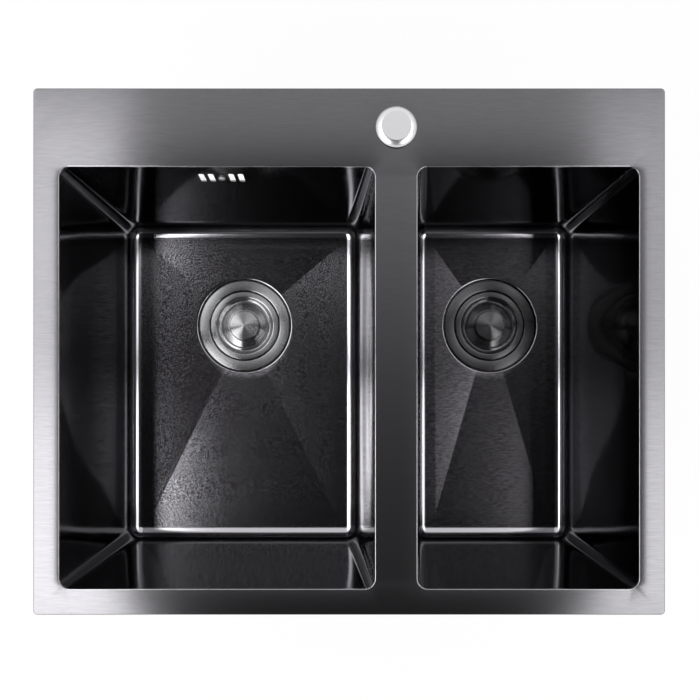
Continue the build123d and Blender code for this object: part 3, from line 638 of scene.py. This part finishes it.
# %% Walls
def wall_rings(side):
    """Inner face of a bowl from its lip to its level border."""
    middle, width, length = bowl_openings[side]

    def ring(inset, corner, level):
        return rounded_ring(middle, width - 2 * inset, length - 2 * inset, corner, level)

    def sprung(point, share):
        across = 2 * (point.x - middle[0]) / width
        along = 2 * (point.y - middle[1]) / length
        swell = sin(pi * share) ** 2
        out_x = side_bow * swell * across * max(1 - along ** 2, 0)
        out_y = end_bow * swell * along * max(1 - across ** 2, 0)
        return point + Vector((out_x, out_y, 0))

    lip = ring(-weld_lip, opening_corner + weld_lip, wall_top)
    rings = [lip, ring(0, opening_corner, wall_top)]
    fillet_centre = floor_level + floor_fillet
    wall_foot = fillet_centre - floor_fillet * sin(wall_draft)
    for step in range(1, wall_steps + 1):
        share = step / wall_steps
        level = wall_top + (wall_foot - wall_top) * share
        inset = tan(wall_draft) * (wall_top - level)
        corner = opening_corner + (foot_corner - opening_corner) * share
        rings.append([sprung(point, share) for point in ring(inset, corner, level)])
    foot_at = tan(wall_draft) * (wall_top - wall_foot)
    for step in range(1, fillet_steps + 1):
        a = wall_draft + (pi / 2 - wall_draft) * step / fillet_steps
        inset = floor_inset - floor_fillet * cos(a)
        corner = max(foot_corner - (inset - foot_at), inner_corner)
        rings.append(ring(inset, corner, fillet_centre - floor_fillet * sin(a)))
    rings.append(ring(floor_inset + level_border, border_corner, floor_level))
    return rings


# %% Floors
def floor_rings(side, border):
    """Inner face of a bowl from its level border, over the falls and the step, to its drain."""
    middle, width, length = bowl_openings[side]
    axis, cup_width, _ = plan_box(f"{side}_strainer_cup")
    radius = cup_width / 2 + recess_gap
    step_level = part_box(f"{side}_cup_gasket")[0].z
    half_x = width / 2 - floor_inset - level_border
    half_y = length / 2 - floor_inset - level_border
    rear = middle[1] + half_y
    front = middle[1] - half_y

    def fall(x, y):
        shares = (
            (half_x - abs(x - middle[0])) / half_x,
            (rear - y) / (rear - axis[1]),
            (y - front) / (axis[1] - front),
        )
        return floor_level - floor_fall * max(min(shares), 0)

    spokes = [Vector((p.x - axis[0], p.y - axis[1])).normalized() for p in border]
    rim_radius = radius + recess_edge
    rim = [(axis[0] + rim_radius * s.x, axis[1] + rim_radius * s.y) for s in spokes]
    rings = []
    for step in range(1, fall_steps + 1):
        share = step / fall_steps
        row = []
        for outer, inner in zip(border, rim):
            x = outer.x + (inner[0] - outer.x) * share
            y = outer.y + (inner[1] - outer.y) * share
            row.append(Vector((x, y, fall(x, y))))
        rings.append(row)

    def circle(r, drop=0, level=None):
        row = []
        for s, (x, y) in zip(spokes, rim):
            z = fall(x, y) - drop if level is None else level
            row.append(Vector((axis[0] + r * s.x, axis[1] + r * s.y, z)))
        return row

    for step in range(1, edge_steps + 1):
        a = pi / 2 * step / edge_steps
        rings.append(circle(rim_radius - recess_edge * sin(a), drop=recess_edge * (1 - cos(a))))
    rings.append(circle(radius, level=step_level + recess_foot))
    rings.append(circle(radius - recess_foot, level=step_level))
    rings.append(circle(drain_hole, level=step_level))
    return rings


# %% Press both bowls
def bowl_sheet(side):
    """Inner face of a bowl, from its lip to its drain hole."""
    walls = wall_rings(side)
    bm = bmesh.new()
    join_rings(bm, walls + floor_rings(side, walls[-1]))
    bmesh.ops.recalc_face_normals(bm, faces=bm.faces)
    if sum(face.normal.z for face in bm.faces) < 0:
        bmesh.ops.reverse_faces(bm, faces=bm.faces)
    return bm


bowls = {}
for side, finish in bowl_finishes.items():
    bowl = piece(f"{side}_drawn_bowl", bowl_sheet(side), finish, sharp=60)
    bowl.data.materials.append(outside_finish)
    thickness = bowl.modifiers.new("sheet", "SOLIDIFY")
    thickness.thickness = sheet
    thickness.offset = -1
    thickness.use_even_offset = True
    thickness.use_quality_normals = True
    thickness.material_offset = 1
    bowls[side] = bowl
    print(bowl.name, "has", len(bowl.data.polygons), "faces on its inside")

# %% [markdown]
# ## Overflow slots
#
# Four upright slots and a screw in the left bowl's rear wall let spilling water into a moulded
# housing. The slots repeat, so a small Geometry Nodes tree places four cutters along the wall, and
# a Boolean modifier cuts them out of the sheet. The tree's inputs are the slots' real sizes. Each
# tree's result becomes a plain mesh at once, because the export can't read a live tree.


# %% Geometry Nodes helpers
def tree_with_inputs(name, numbers, counts=()):
    """A Geometry Nodes tree with named inputs, the last one for its material."""
    tree = bpy.data.node_groups.new(name, "GeometryNodeTree")
    kinds = [("Geometry", "Geometry")]
    kinds += [(label, "Int") for label in counts] + [(label, "Float") for label in numbers]
    for label, kind in kinds + [("Material", "Material")]:
        tree.interface.new_socket(label, in_out="INPUT", socket_type=f"NodeSocket{kind}")
    tree.interface.new_socket("Geometry", in_out="OUTPUT", socket_type="NodeSocketGeometry")
    return tree, tree.nodes.new("NodeGroupInput").outputs


def end_tree(tree, points, instance, material):
    """Puts an instance on every point, realizes them, sets the material and closes the tree."""
    placed = node(tree, "GeometryNodeInstanceOnPoints", {"Points": points, "Instance": instance})
    real = node(tree, "GeometryNodeRealizeInstances", {"Geometry": placed})
    painted = node(tree, "GeometryNodeSetMaterial", {"Geometry": real, "Material": material})
    node(tree, "NodeGroupOutput", {"Geometry": painted})


def grown(name, tree, values, points):
    """Runs a tree on a few points and gives the result as a plain mesh object."""
    mesh = bpy.data.meshes.new(f"{name}_points")
    mesh.from_pydata(points, [], [])
    source = bpy.data.objects.new(f"{name}_source", mesh)
    bpy.context.scene.collection.objects.link(source)
    modifier = source.modifiers.new("nodes", "NODES")
    modifier.node_group = tree
    for item in tree.interface.items_tree:
        if item.in_out == "INPUT" and item.name in values:
            modifier[item.identifier] = values[item.name]
    graph = bpy.context.evaluated_depsgraph_get()
    made_mesh = bpy.data.meshes.new_from_object(source.evaluated_get(graph))
    made_mesh.name = name
    outward = bmesh.new()
    outward.from_mesh(made_mesh)
    bmesh.ops.recalc_face_normals(outward, faces=outward.faces)
    outward.to_mesh(made_mesh)
    outward.free()
    bpy.data.objects.remove(source)
    made = bpy.data.objects.new(name, made_mesh)
    bpy.context.scene.collection.objects.link(made)
    return made


# %% Modifier helpers
def cut_by(target, cutter):
    """Lets a Boolean modifier take a cutter out of a piece."""
    cut = target.modifiers.new(cutter.name, "BOOLEAN")
    cut.operation = "DIFFERENCE"
    cut.solver = "EXACT"
    cut.object = cutter


def baked(target, sharp):
    """Turns a piece's modifiers into its mesh, with sharp edges over sharp degrees."""
    graph = bpy.context.evaluated_depsgraph_get()
    mesh = bpy.data.meshes.new_from_object(target.evaluated_get(graph))
    target.modifiers.clear()
    target.data = mesh
    mesh.set_sharp_from_angle(angle=radians(sharp))


# %% Slot cutter tree
arc_points = 6                # on each rounded corner of a slot
weld_reach = 1e-6


def slot_cutter_tree():
    """Puts one rounded block, standing on edge, on every point."""
    tree, given = tree_with_inputs("slot_cutters", ("Width", "Height", "Corner", "Depth"))
    outline = node(
        tree,
        "GeometryNodeCurvePrimitiveQuadrilateral",
        {"Width": given["Width"], "Height": given["Height"]},
    )
    corners = {"Curve": outline, "Radius": given["Corner"], "Count": arc_points}
    rounded = node(tree, "GeometryNodeFilletCurve", corners, mode="POLY")
    filled = node(tree, "GeometryNodeFillCurve", {"Curve": rounded}, mode="NGONS")
    block = node(
        tree, "GeometryNodeExtrudeMesh", {"Mesh": filled, "Offset Scale": given["Depth"]}
    )
    back = node(tree, "GeometryNodeFlipFaces", {"Mesh": filled})
    whole = node(tree, "GeometryNodeJoinGeometry", {"Geometry": block})
    feed(whole, {"Geometry": back})
    welded = node(tree, "GeometryNodeMergeByDistance", {"Geometry": whole, "Distance": weld_reach})
    upright = {"Geometry": welded, "Rotation": (radians(90), 0.0, 0.0)}
    standing = node(tree, "GeometryNodeTransform", upright)
    end_tree(tree, given["Geometry"], standing, given["Material"])
    return tree


# %% Slots
slot_drop = 32 * mm           # from the deck's top to the slots' middle
slot_width, slot_height = 5.5 * mm, 22 * mm
slot_corner = 2.0 * mm
slot_first = 10 * mm          # from the screw to the nearer slots
slot_pitch = 9.2 * mm
screw_hole = 2.3 * mm
cut_depth = 16 * mm

left_middle, _, left_length = bowl_openings["left"]
slot_level = deck_high.z - slot_drop
slot_wall = left_middle[1] + left_length / 2 - tan(wall_draft) * (wall_top - slot_level)
slot_steps = [hand * (slot_first + step * slot_pitch) for hand in (-1, 1) for step in (0, 1)]
slot_cutters = grown(
    "overflow_slot_cutters",
    slot_cutter_tree(),
    {
        "Width": slot_width,
        "Height": slot_height,
        "Corner": slot_corner,
        "Depth": cut_depth,
        "Material": outside_finish,
    },
    [(left_middle[0] + step, slot_wall + cut_depth / 2, slot_level) for step in slot_steps],
)
hole_radius, half_cut = screw_hole / mm, cut_depth / 2 / mm
hole_section = [(0, -half_cut), (hole_radius, -half_cut), (hole_radius, half_cut), (0, half_cut)]
hole_cutter = spun("screw_hole_cutter", hole_section, (0, 0), outside_finish, around=24)
hole_place = Matrix.Translation((left_middle[0], slot_wall, slot_level))
hole_cutter.data.transform(hole_place @ Matrix.Rotation(pi / 2, 4, "X"))
for cutter in (slot_cutters, hole_cutter):
    cut_by(bowls["left"], cutter)
for side, bowl in bowls.items():
    baked(bowl, sharp=45)
    hand_over(bowl, "sink", "gunmetal_bowl", f"{side}_bowl")
for cutter in (slot_cutters, hole_cutter):
    bpy.data.objects.remove(cutter)

# %% [markdown]
# ## Damping pads
#
# A sheet of rubber on each side wall stops the bowl from ringing. It is glued on, so it follows the
# wall's lean and its slight outward spring. A bent box would have to be fitted to the wall by eye.
# Here a grid of points on the wall's outside makes one face of the pad, and Solidify gives it its
# thickness.

# %% Pad finish
pad_square = 6 * mm
pad_relief = 0.5 * mm


def damping_pad():
    """Bitumen rubber sheet, matt and dusty, pressed with a square grid that shows as small dimples."""
    made, tree, skin = surface("pressed_damping_rubber", {"IOR": 1.52, "Specular IOR Level": 0.4})
    vary(tree, skin, grain_pattern(tree, (5, 5, 5), detail=4), "#2e2e2f", "#3c3c3d", (0.7, 0.85))
    place = node(tree, "ShaderNodeTexCoord").outputs["Object"]
    squares = {"Vector": place, "Scale": 1 / pad_square, "Randomness": 0.0}
    grid = node(tree, "ShaderNodeTexVoronoi", squares).outputs["Distance"]
    relief = {"Height": grid, "Distance": pad_relief, "Strength": 1.0}
    feed(skin, {"Normal": node(tree, "ShaderNodeBump", relief)})
    return made


pad_rubber = damping_pad()
print("finish:", pad_rubber.name)

# %% Wall pads
pad_thickness = 2.9 * mm
pad_edge = 0.5 * mm
pad_grid = 16


def wall_pads(side):
    """Both pads of a bowl, as sheets that follow the sprung walls."""
    middle, width, length = bowl_openings[side]
    low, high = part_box(f"{side}_wall_pads")
    wall_foot = floor_level + floor_fillet * (1 - sin(wall_draft))
    bm = bmesh.new()
    for hand in (-1, 1):
        rows = []
        for row in range(pad_grid + 1):
            z = low.z + (high.z - low.z) * row / pad_grid
            share = (wall_top - z) / (wall_top - wall_foot)
            across = width / 2 - tan(wall_draft) * (wall_top - z) + sheet / cos(wall_draft)
            points = []
            for column in range(pad_grid + 1):
                y = low.y + (high.y - low.y) * column / pad_grid
                along = 2 * (y - middle[1]) / length
                spring = side_bow * sin(pi * share) ** 2 * (1 - along ** 2)
                points.append(bm.verts.new((middle[0] + hand * (across + spring), y, z)))
            rows.append(points)
        for lower, upper in zip(rows, rows[1:]):
            for quad in zip(lower, lower[1:], upper[1:], upper):
                bm.faces.new(quad if hand > 0 else quad[::-1])
    return bm


for side in bowls:
    pads = piece(f"{side}_glued_wall_pads", wall_pads(side), pad_rubber)
    thick = pads.modifiers.new("thickness", "SOLIDIFY")
    thick.thickness = pad_thickness
    thick.offset = 1
    thick.use_even_offset = True
    edge = pads.modifiers.new("cut_edge", "BEVEL")
    edge.width = pad_edge
    edge.segments = 2
    edge.limit_method = "ANGLE"
    baked(pads, sharp=35)
    hand_over(pads, "sink", "damping_rubber", f"{side}_wall_pads")

# %% [markdown]
# ## Strainer wastes
#
# Flange, lid and knob are turned or spun on a lathe, which leaves fine rings. Light spreads across
# the rings, so each disc shows two bright sectors, like a bow tie. The rings are too fine to model,
# so an anisotropic metal stands for them, and the UV map's U, which runs round the piece, gives it
# their direction.


# %% Spun finish
def spun_gunmetal(name, dark, pale):
    """Lathe-turned coated steel, whose fine rings draw each light out into a bright sector."""
    made, tree, skin = surface(
        name, {"Metallic": 1.0, "Anisotropic": 0.96, "Anisotropic Rotation": 0.25}
    )
    direction = node(tree, "ShaderNodeTangent", direction_type="UV_MAP", uv_map=uv_name)
    feed(skin, {"Tangent": direction})
    cloud = grain_pattern(tree, (2.0, 2.0, 2.0), detail=3)
    vary(tree, skin, cloud, dark, pale, rough=(0.22, 0.24), strong=True)
    return made


spun_finishes = {
    "left": spun_gunmetal("spun_gunmetal_steel", "#a2a2a4", "#aeaeb0"),
    # The right drain's darker copy of the same spun finish is painted shade.
    "right": spun_gunmetal("spun_gunmetal_steel_painted_shade", "#68686a", "#727274"),
}
print("finishes:", [finish.name for finish in spun_finishes.values()])


def turned(name, side, profile, soft, steps):
    """A softened profile in millimetres, spun about a drain's axis in its own finish."""
    axis, _, _ = plan_box(f"{side}_strainer_cup")
    return spun(name, softened(profile, soft, steps), axis, spun_finishes[side], sharp=50)


# %% Flanged cup, in millimetres
cup_inside = 42.3
cup_depth_in = 34.0
cup_wall = 0.8
flange_thickness = 1.2
sump_radius = 24
sump_drop = 4.0


def strainer_cup(side):
    """The drawn cup with its turned flange."""
    low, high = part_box(f"{side}_strainer_cup")
    top, outer = high.z / mm, (high.x - low.x) / 2 / mm
    flange_bottom = top - flange_thickness
    seat = flange_bottom - cup_depth_in
    sump = seat - sump_drop
    profile = [
        (0, sump - cup_wall),
        (sump_radius, sump - cup_wall),
        (cup_inside + cup_wall, seat - cup_wall),
        (cup_inside + cup_wall, flange_bottom),
        (outer, flange_bottom),
        (outer, top),
        (cup_inside, top),
        (cup_inside, seat),
        (sump_radius, sump),
        (0, sump),
    ]
    return turned(f"{side}_flanged_cup", side, profile, soft=1.1, steps=4)


# %% Lid, in millimetres
lid_rim_width = 7.0
lid_rim_roll = (1.0, 0.4)     # in from the groove, and down
groove_width = 7.8
groove_depth = 4.2
groove_foot_in = (1.4, 0.7)   # of the inner wall: out from it, and up from the groove's bottom
groove_foot_out = (1.3, 1.4)  # of the outer wall
dome_width = 7.2
dome_foot = 1.9
dome_rise = 0.6
lid_sheet = 1.0


def lid(side):
    """The spun lid: flat rim, deep groove, low dome."""
    low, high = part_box(f"{side}_lid")
    outer = (high.x - low.x) / 2 / mm
    bottom = low.z / mm
    top = high.z / mm - dome_rise
    rim_inner = outer - lid_rim_width
    groove_inner = rim_inner - groove_width
    flat_middle = groove_inner - dome_width
    groove_middle = (rim_inner + groove_inner) / 2

    def upper(drop):
        return [
            (0, top + dome_rise - drop),
            (flat_middle, top + dome_rise - drop),
            (groove_inner, top - dome_foot - drop),
            (groove_inner + groove_foot_in[0], top - groove_depth + groove_foot_in[1] - drop),
            (groove_middle, top - groove_depth - drop),
            (rim_inner - groove_foot_out[0], top - groove_depth + groove_foot_out[1] - drop),
            (rim_inner, top - lid_rim_roll[1] - drop),
            (rim_inner + lid_rim_roll[0], top - drop),
        ]

    inside = outer - lid_sheet
    skirt = [(outer, top), (outer, bottom), (inside, bottom), (inside, top - lid_sheet)]
    profile = upper(0) + skirt + upper(lid_sheet)[::-1]
    return turned(f"{side}_spun_lid", side, profile, soft=0.7, steps=4)


# %% Knob, in millimetres
knob_lip = 1.0
knob_stem = 2.0
knob_shoulder = (0.6, 1.0)    # in from the rim, and down from the top
knob_band_top = 1.5           # down from the top
knob_point = 0.8


def knob(side):
    """The turned knob on its neck, with a shallow cone on top."""
    low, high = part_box(f"{side}_lid_knob")
    radius = (high.x - low.x) / 2 / mm
    bottom, top = low.z / mm, high.z / mm
    lid_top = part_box(f"{side}_lid")[1].z / mm
    neck = radius - knob_lip
    profile = [
        (0, bottom),
        (knob_stem, bottom),
        (knob_stem, lid_top),
        (neck, lid_top),
        (neck, lid_top + knob_lip),
        (radius, lid_top + knob_lip),
        (radius, top - knob_band_top),
        (radius - knob_shoulder[0], top - knob_shoulder[1]),
        (knob_point, top),
        (0, top),
    ]
    return turned(f"{side}_turned_knob", side, profile, soft=0.35, steps=3)


# %% [markdown]
# Six holes in the cup's floor let the water out when the basket is lifted. They stand on a circle, so
# a Geometry Nodes tree sets one cutter on each point of a circle, and the cup is cut with them.

# %% Outlet holes
outlet_count = 6
outlet_circle = 14.5 * mm
outlet_hole = 5 * mm
outlet_cut = 12 * mm
drill_sides = 24


def ring_of_cutters():
    """Puts a circle of upright cylinders about every point."""
    tree, given = tree_with_inputs("outlet_hole_cutters", ("Circle", "Radius", "Depth"), ("Count",))
    circle = node(
        tree, "GeometryNodeMeshCircle", {"Vertices": given["Count"], "Radius": given["Circle"]}
    )
    drill = {"Vertices": drill_sides, "Radius": given["Radius"], "Depth": given["Depth"]}
    pin = node(tree, "GeometryNodeMeshCylinder", drill)
    pins = node(tree, "GeometryNodeInstanceOnPoints", {"Points": circle, "Instance": pin})
    end_tree(tree, given["Geometry"], pins, given["Material"])
    return tree


def drilled(cup, tree, side):
    """Cuts the outlet holes through a cup's floor."""
    axis, _, _ = plan_box(f"{side}_strainer_cup")
    cup_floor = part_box(f"{side}_strainer_cup")[0].z
    drills = grown(
        f"{side}_outlet_drills",
        tree,
        {
            "Count": outlet_count,
            "Circle": outlet_circle,
            "Radius": outlet_hole,
            "Depth": outlet_cut,
            "Material": spun_finishes[side],
        },
        [(*axis, cup_floor)],
    )
    cut_by(cup, drills)
    baked(cup, sharp=50)
    bpy.data.objects.remove(drills)
    return cup


outlet_tree = ring_of_cutters()
for side in bowls:
    cup = drilled(strainer_cup(side), outlet_tree, side)
    hand_over(cup, "sink", "strainer_steel", f"{side}_strainer_cup")
    hand_over(lid(side), f"{side}_lid_unit", "strainer_steel", f"{side}_lid")
    hand_over(knob(side), f"{side}_lid_unit", "strainer_steel", f"{side}_lid_knob")

# %% [markdown]
# ## Chrome cap
#
# The tap hole's cap is die cast and chromed, a plain mirror. Its flat middle and its round shoulder
# show the room, so its shape matters more than its colour. It is spun like the lids. The shoulder
# could be a bevel, but an arc that starts at a lean ends the flat in a fine line, as on a real cap.


# %% Chrome
def polished_chrome():
    """Bright chrome plate with a trace of orange peel, which blurs the room a little."""
    made, tree, skin = surface("polished_chrome_plate", {"Metallic": 1.0})
    vary(tree, skin, grain_pattern(tree, (6, 6, 6)), "#e4e4e6", "#ececee", rough=(0.28, 0.34))
    return made


chrome = polished_chrome()
print("finish:", chrome.name)

# %% Cap, in millimetres
cap_flat = 14.0
cap_flat_end = 0.3            # in from the shoulder's start
cap_seal = 0.8
cap_band = 1.2                # height of the upright edge below the shoulder
cap_collar = 17.2
cap_bore = 15.2
collar_end = 1.5              # above the deck's underside
cap_plate = 2
cap_stem = 4
shoulder_steps = 12
lean_in, lean_out = radians(18), radians(51)


def tap_cap():
    """Flat disc with a round shoulder, a collar in the hole and a stem, drawn without its thread."""
    outer = (cap_high.x - cap_low.x) / 2 / mm
    bottom, top = cap_low.z / mm, cap_high.z / mm
    shoulder = outer - cap_flat
    base = deck_high.z / mm + cap_seal
    height = top - base - cap_band
    arc = []
    for step in range(shoulder_steps + 1):
        a = lean_in + (lean_out - lean_in) * step / shoulder_steps
        across = (sin(a) - sin(lean_in)) / (sin(lean_out) - sin(lean_in))
        down = (cos(lean_in) - cos(a)) / (cos(lean_in) - cos(lean_out))
        arc.append((cap_flat + shoulder * across, top - height * down))
    foot = deck_low.z / mm + collar_end
    profile = [(0, top), (cap_flat - cap_flat_end, top)] + arc
    profile += [(outer, base), (cap_collar, base), (cap_collar, foot), (cap_bore, foot)]
    profile += [(cap_bore, top - cap_plate), (cap_stem, top - cap_plate)]
    profile += [(cap_stem, bottom), (0, bottom)]
    return spun("chrome_tap_hole_cap", profile, tap_axis, chrome, sharp=40)


hand_over(tap_cap(), "sink", "chrome_cap", "tap_hole_cap")

# %% [markdown]
# ## Plastics, rubber and plated steel
#
# The pieces below the deck keep their CAD shapes. Each gets the finish that its maker gives it:
# moulded polypropylene with a fine spark texture, matt rubber, and zinc plate with a pale bloom.
# A finish is made once for each material slot of the record, and every node takes its slot's.


# %% Underside finishes
def moulded(name, dark, pale, rough, painted_glow=0.0):
    """Injection moulded polypropylene, softly glossy over a fine texture.

    The painted glow is painted light: an emission that brightens the part as if light came through its
    thin wall.
    """
    made, tree, skin = surface(
        name, {"IOR": 1.49, "Emission Color": (1, 1, 1, 1), "Emission Strength": painted_glow}
    )
    grit = grain_pattern(tree, (1.2, 1.2, 1.2), detail=3)
    vary(tree, skin, grit, dark, pale, rough=(rough - 0.05, rough + 0.05), depth=0.05)
    return made


def rubber(name, dark, pale):
    """Matt moulded rubber, a little dusty, with hardly any highlight."""
    made, tree, skin = surface(name, {"IOR": 1.52, "Specular IOR Level": 0.35})
    dust = grain_pattern(tree, (4, 4, 4), detail=4)
    vary(tree, skin, dust, dark, pale, rough=(0.75, 0.9), depth=0.08)
    return made


def plated(name, dark, pale, rough):
    """Plated or plain steel hardware with a cloudy sheen."""
    made, tree, skin = surface(name, {"Metallic": 1.0})
    bloom = grain_pattern(tree, (3, 3, 3), detail=4)
    vary(tree, skin, bloom, dark, pale, rough=(rough - 0.06, rough + 0.06))
    return made


finishes = {
    "gunmetal_deck": deck_finish,
    "gunmetal_bowl": bowl_finishes["left"],
    "strainer_steel": plated("coated_strainer_steel", "#77757a", "#87858a", 0.25),
    "plain_steel": plated("plain_stainless_hardware", "#b0b0b2", "#c4c4c6", 0.28),
    "zinc_steel": plated("zinc_plated_steel", "#b4b8bd", "#cfd2d5", 0.34),
    "chrome_cap": chrome,
    # The white plastic glows with painted light, so that the housing shows bright through the overflow
    # slots.
    "white_plastic": moulded("white_polypropylene", "#f2f2f0", "#fafaf8", 0.4, painted_glow=0.35),
    "black_plastic": moulded("black_polypropylene", "#151516", "#1e1e1f", 0.45),
    "seal_rubber": rubber("black_sealing_rubber", "#141414", "#202020"),
    "foam_seal": rubber("closed_cell_foam", "#1b1b1c", "#2a2a2b"),
    "damping_rubber": pad_rubber,
}
slots = {part["node"]: part["material_slot"] for part in frame["record"]["subparts"]}
for name, slot in slots.items():
    mesh = nodes[name].data
    mesh.materials.clear()
    mesh.materials.append(finishes[slot])
blasted_screw = plated("bead_blasted_stainless_screw", "#dedee0", "#ececee", 0.55)
nodes["overflow_screw"].data.materials[0] = blasted_screw
print(len(finishes), "finishes on", len(nodes), "nodes")

# %% [markdown]
# ## Threads and bolts
#
# A thread follows a helix, so a Geometry Nodes tree makes it: a core, a ridge along a spiral and, on
# the clip bolts, a square head. The tree puts one rod on every point it is given. The pitches are
# about twice the real ones, because a fine thread would not show.

# %% Thread tree
rod_sides = 32
helix_steps = 24              # per turn


def thread_tree(name, headed):
    """Puts a threaded rod on every point, which is the rod's lower end."""
    head_sizes = ("Head Size", "Head Height") if headed else ()
    tree, given = tree_with_inputs(name, ("Radius", "Depth", "Pitch", "Length") + head_sizes)

    def raised(geometry, height):
        lift = node(tree, "ShaderNodeCombineXYZ", {"Z": height})
        return node(tree, "GeometryNodeTransform", {"Geometry": geometry, "Translation": lift})

    deep = {0: given["Radius"], 1: given["Depth"]}
    root = node(tree, "ShaderNodeMath", deep, operation="SUBTRACT")
    turns = {0: given["Length"], 1: given["Pitch"]}
    rod = {"Vertices": rod_sides, "Radius": root, "Depth": given["Length"]}
    core = node(tree, "GeometryNodeMeshCylinder", rod)
    spiral = {
        "Resolution": helix_steps,
        "Rotations": node(tree, "ShaderNodeMath", turns, operation="DIVIDE"),
        "Start Radius": root,
        "End Radius": root,
        "Height": given["Length"],
    }
    crest = node(
        tree, "GeometryNodeCurvePrimitiveCircle", {"Resolution": 4, "Radius": given["Depth"]}
    )
    swept = {
        "Curve": node(tree, "GeometryNodeCurveSpiral", spiral),
        "Profile Curve": crest,
        "Fill Caps": True,
    }
    ridge = node(tree, "GeometryNodeCurveToMesh", swept)
    half = node(tree, "ShaderNodeMath", {0: given["Length"], 1: 0.5}, operation="MULTIPLY")
    whole = node(tree, "GeometryNodeJoinGeometry", {"Geometry": raised(core, half)})
    feed(whole, {"Geometry": ridge})
    if headed:
        block = {"X": given["Head Size"], "Y": given["Head Size"], "Z": given["Head Height"]}
        head = node(
            tree, "GeometryNodeMeshCube", {"Size": node(tree, "ShaderNodeCombineXYZ", block)}
        )
        half_head = {0: given["Head Height"], 1: 0.5}
        up = {0: given["Length"], 1: node(tree, "ShaderNodeMath", half_head, operation="MULTIPLY")}
        level = node(tree, "ShaderNodeMath", up, operation="ADD")
        feed(whole, {"Geometry": raised(head, level)})
    end_tree(tree, given["Geometry"], whole, given["Material"])
    return tree


# %% Clip bolts
bolt_radius = 2.5 * mm
bolt_thread = 0.35 * mm
bolt_pitch = 1.5 * mm
bolt_head, bolt_head_height = 8 * mm, 3 * mm
bolts_apart = 20 * mm         # at least


def plan_places(name, apart):
    """Plan centres of the like pieces in one node, which stand further than apart from each other."""
    groups = []
    for vertex in nodes[name].data.vertices:
        spot = Vector((vertex.co.x, vertex.co.y))
        for group in groups:
            if (group[0] - spot).length < apart:
                group.append(spot)
                break
        else:
            groups.append([spot])
    centres = []
    for group in groups:
        xs, ys = [p.x for p in group], [p.y for p in group]
        centres.append(((min(xs) + max(xs)) / 2, (min(ys) + max(ys)) / 2))
    return centres


bolts_low, bolts_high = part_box("clip_bolts")
bolt_places = plan_places("clip_bolts", bolts_apart)
print(len(bolt_places), "clip bolts")
clip_bolts = grown(
    "threaded_clip_bolts",
    thread_tree("threaded_bolts", True),
    {
        "Radius": bolt_radius,
        "Depth": bolt_thread,
        "Pitch": bolt_pitch,
        "Length": bolts_high.z - bolt_head_height - bolts_low.z,
        "Head Size": bolt_head,
        "Head Height": bolt_head_height,
        "Material": finishes[slots["clip_bolts"]],
    },
    [(x, y, bolts_low.z) for x, y in bolt_places],
)
hand_over(clip_bolts, "sink", slots["clip_bolts"], "clip_bolts")

# %% Outlet threads
outlet_radius = 23.9 * mm
outlet_start = 1.6 * mm       # above the outlet's end
outlet_thread = 20 * mm
outlet_pitch = 3.2 * mm
thread_depth = 1.0 * mm
thread_proud = 0.6 * mm       # of the outlet's plain face

outlet_ends = []
for side in bowls:
    axis, _, _ = plan_box(f"{side}_strainer_cup")
    outlet_ends.append((*axis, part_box(f"{side}_drain_body")[0].z + outlet_start))
outlet_threads = grown(
    "outlet_threads",
    thread_tree("outlet_thread", False),
    {
        "Radius": outlet_radius + thread_proud,
        "Depth": thread_depth,
        "Pitch": outlet_pitch,
        "Length": outlet_thread,
        "Material": finishes["black_plastic"],
    },
    outlet_ends,
)
hand_over(outlet_threads, "sink", "black_plastic")

# %% [markdown]
# ## The last lines
#
# The sizes of the CAD model and of the visual model are both printed. The visual model
# has to stay inside the CAD model's box.

# %% Sizes and end
new_low, new_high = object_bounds()
new_mm = [round((high - low) / mm, 1) for low, high in zip(new_low, new_high)]
print("visual size in mm:", new_mm)
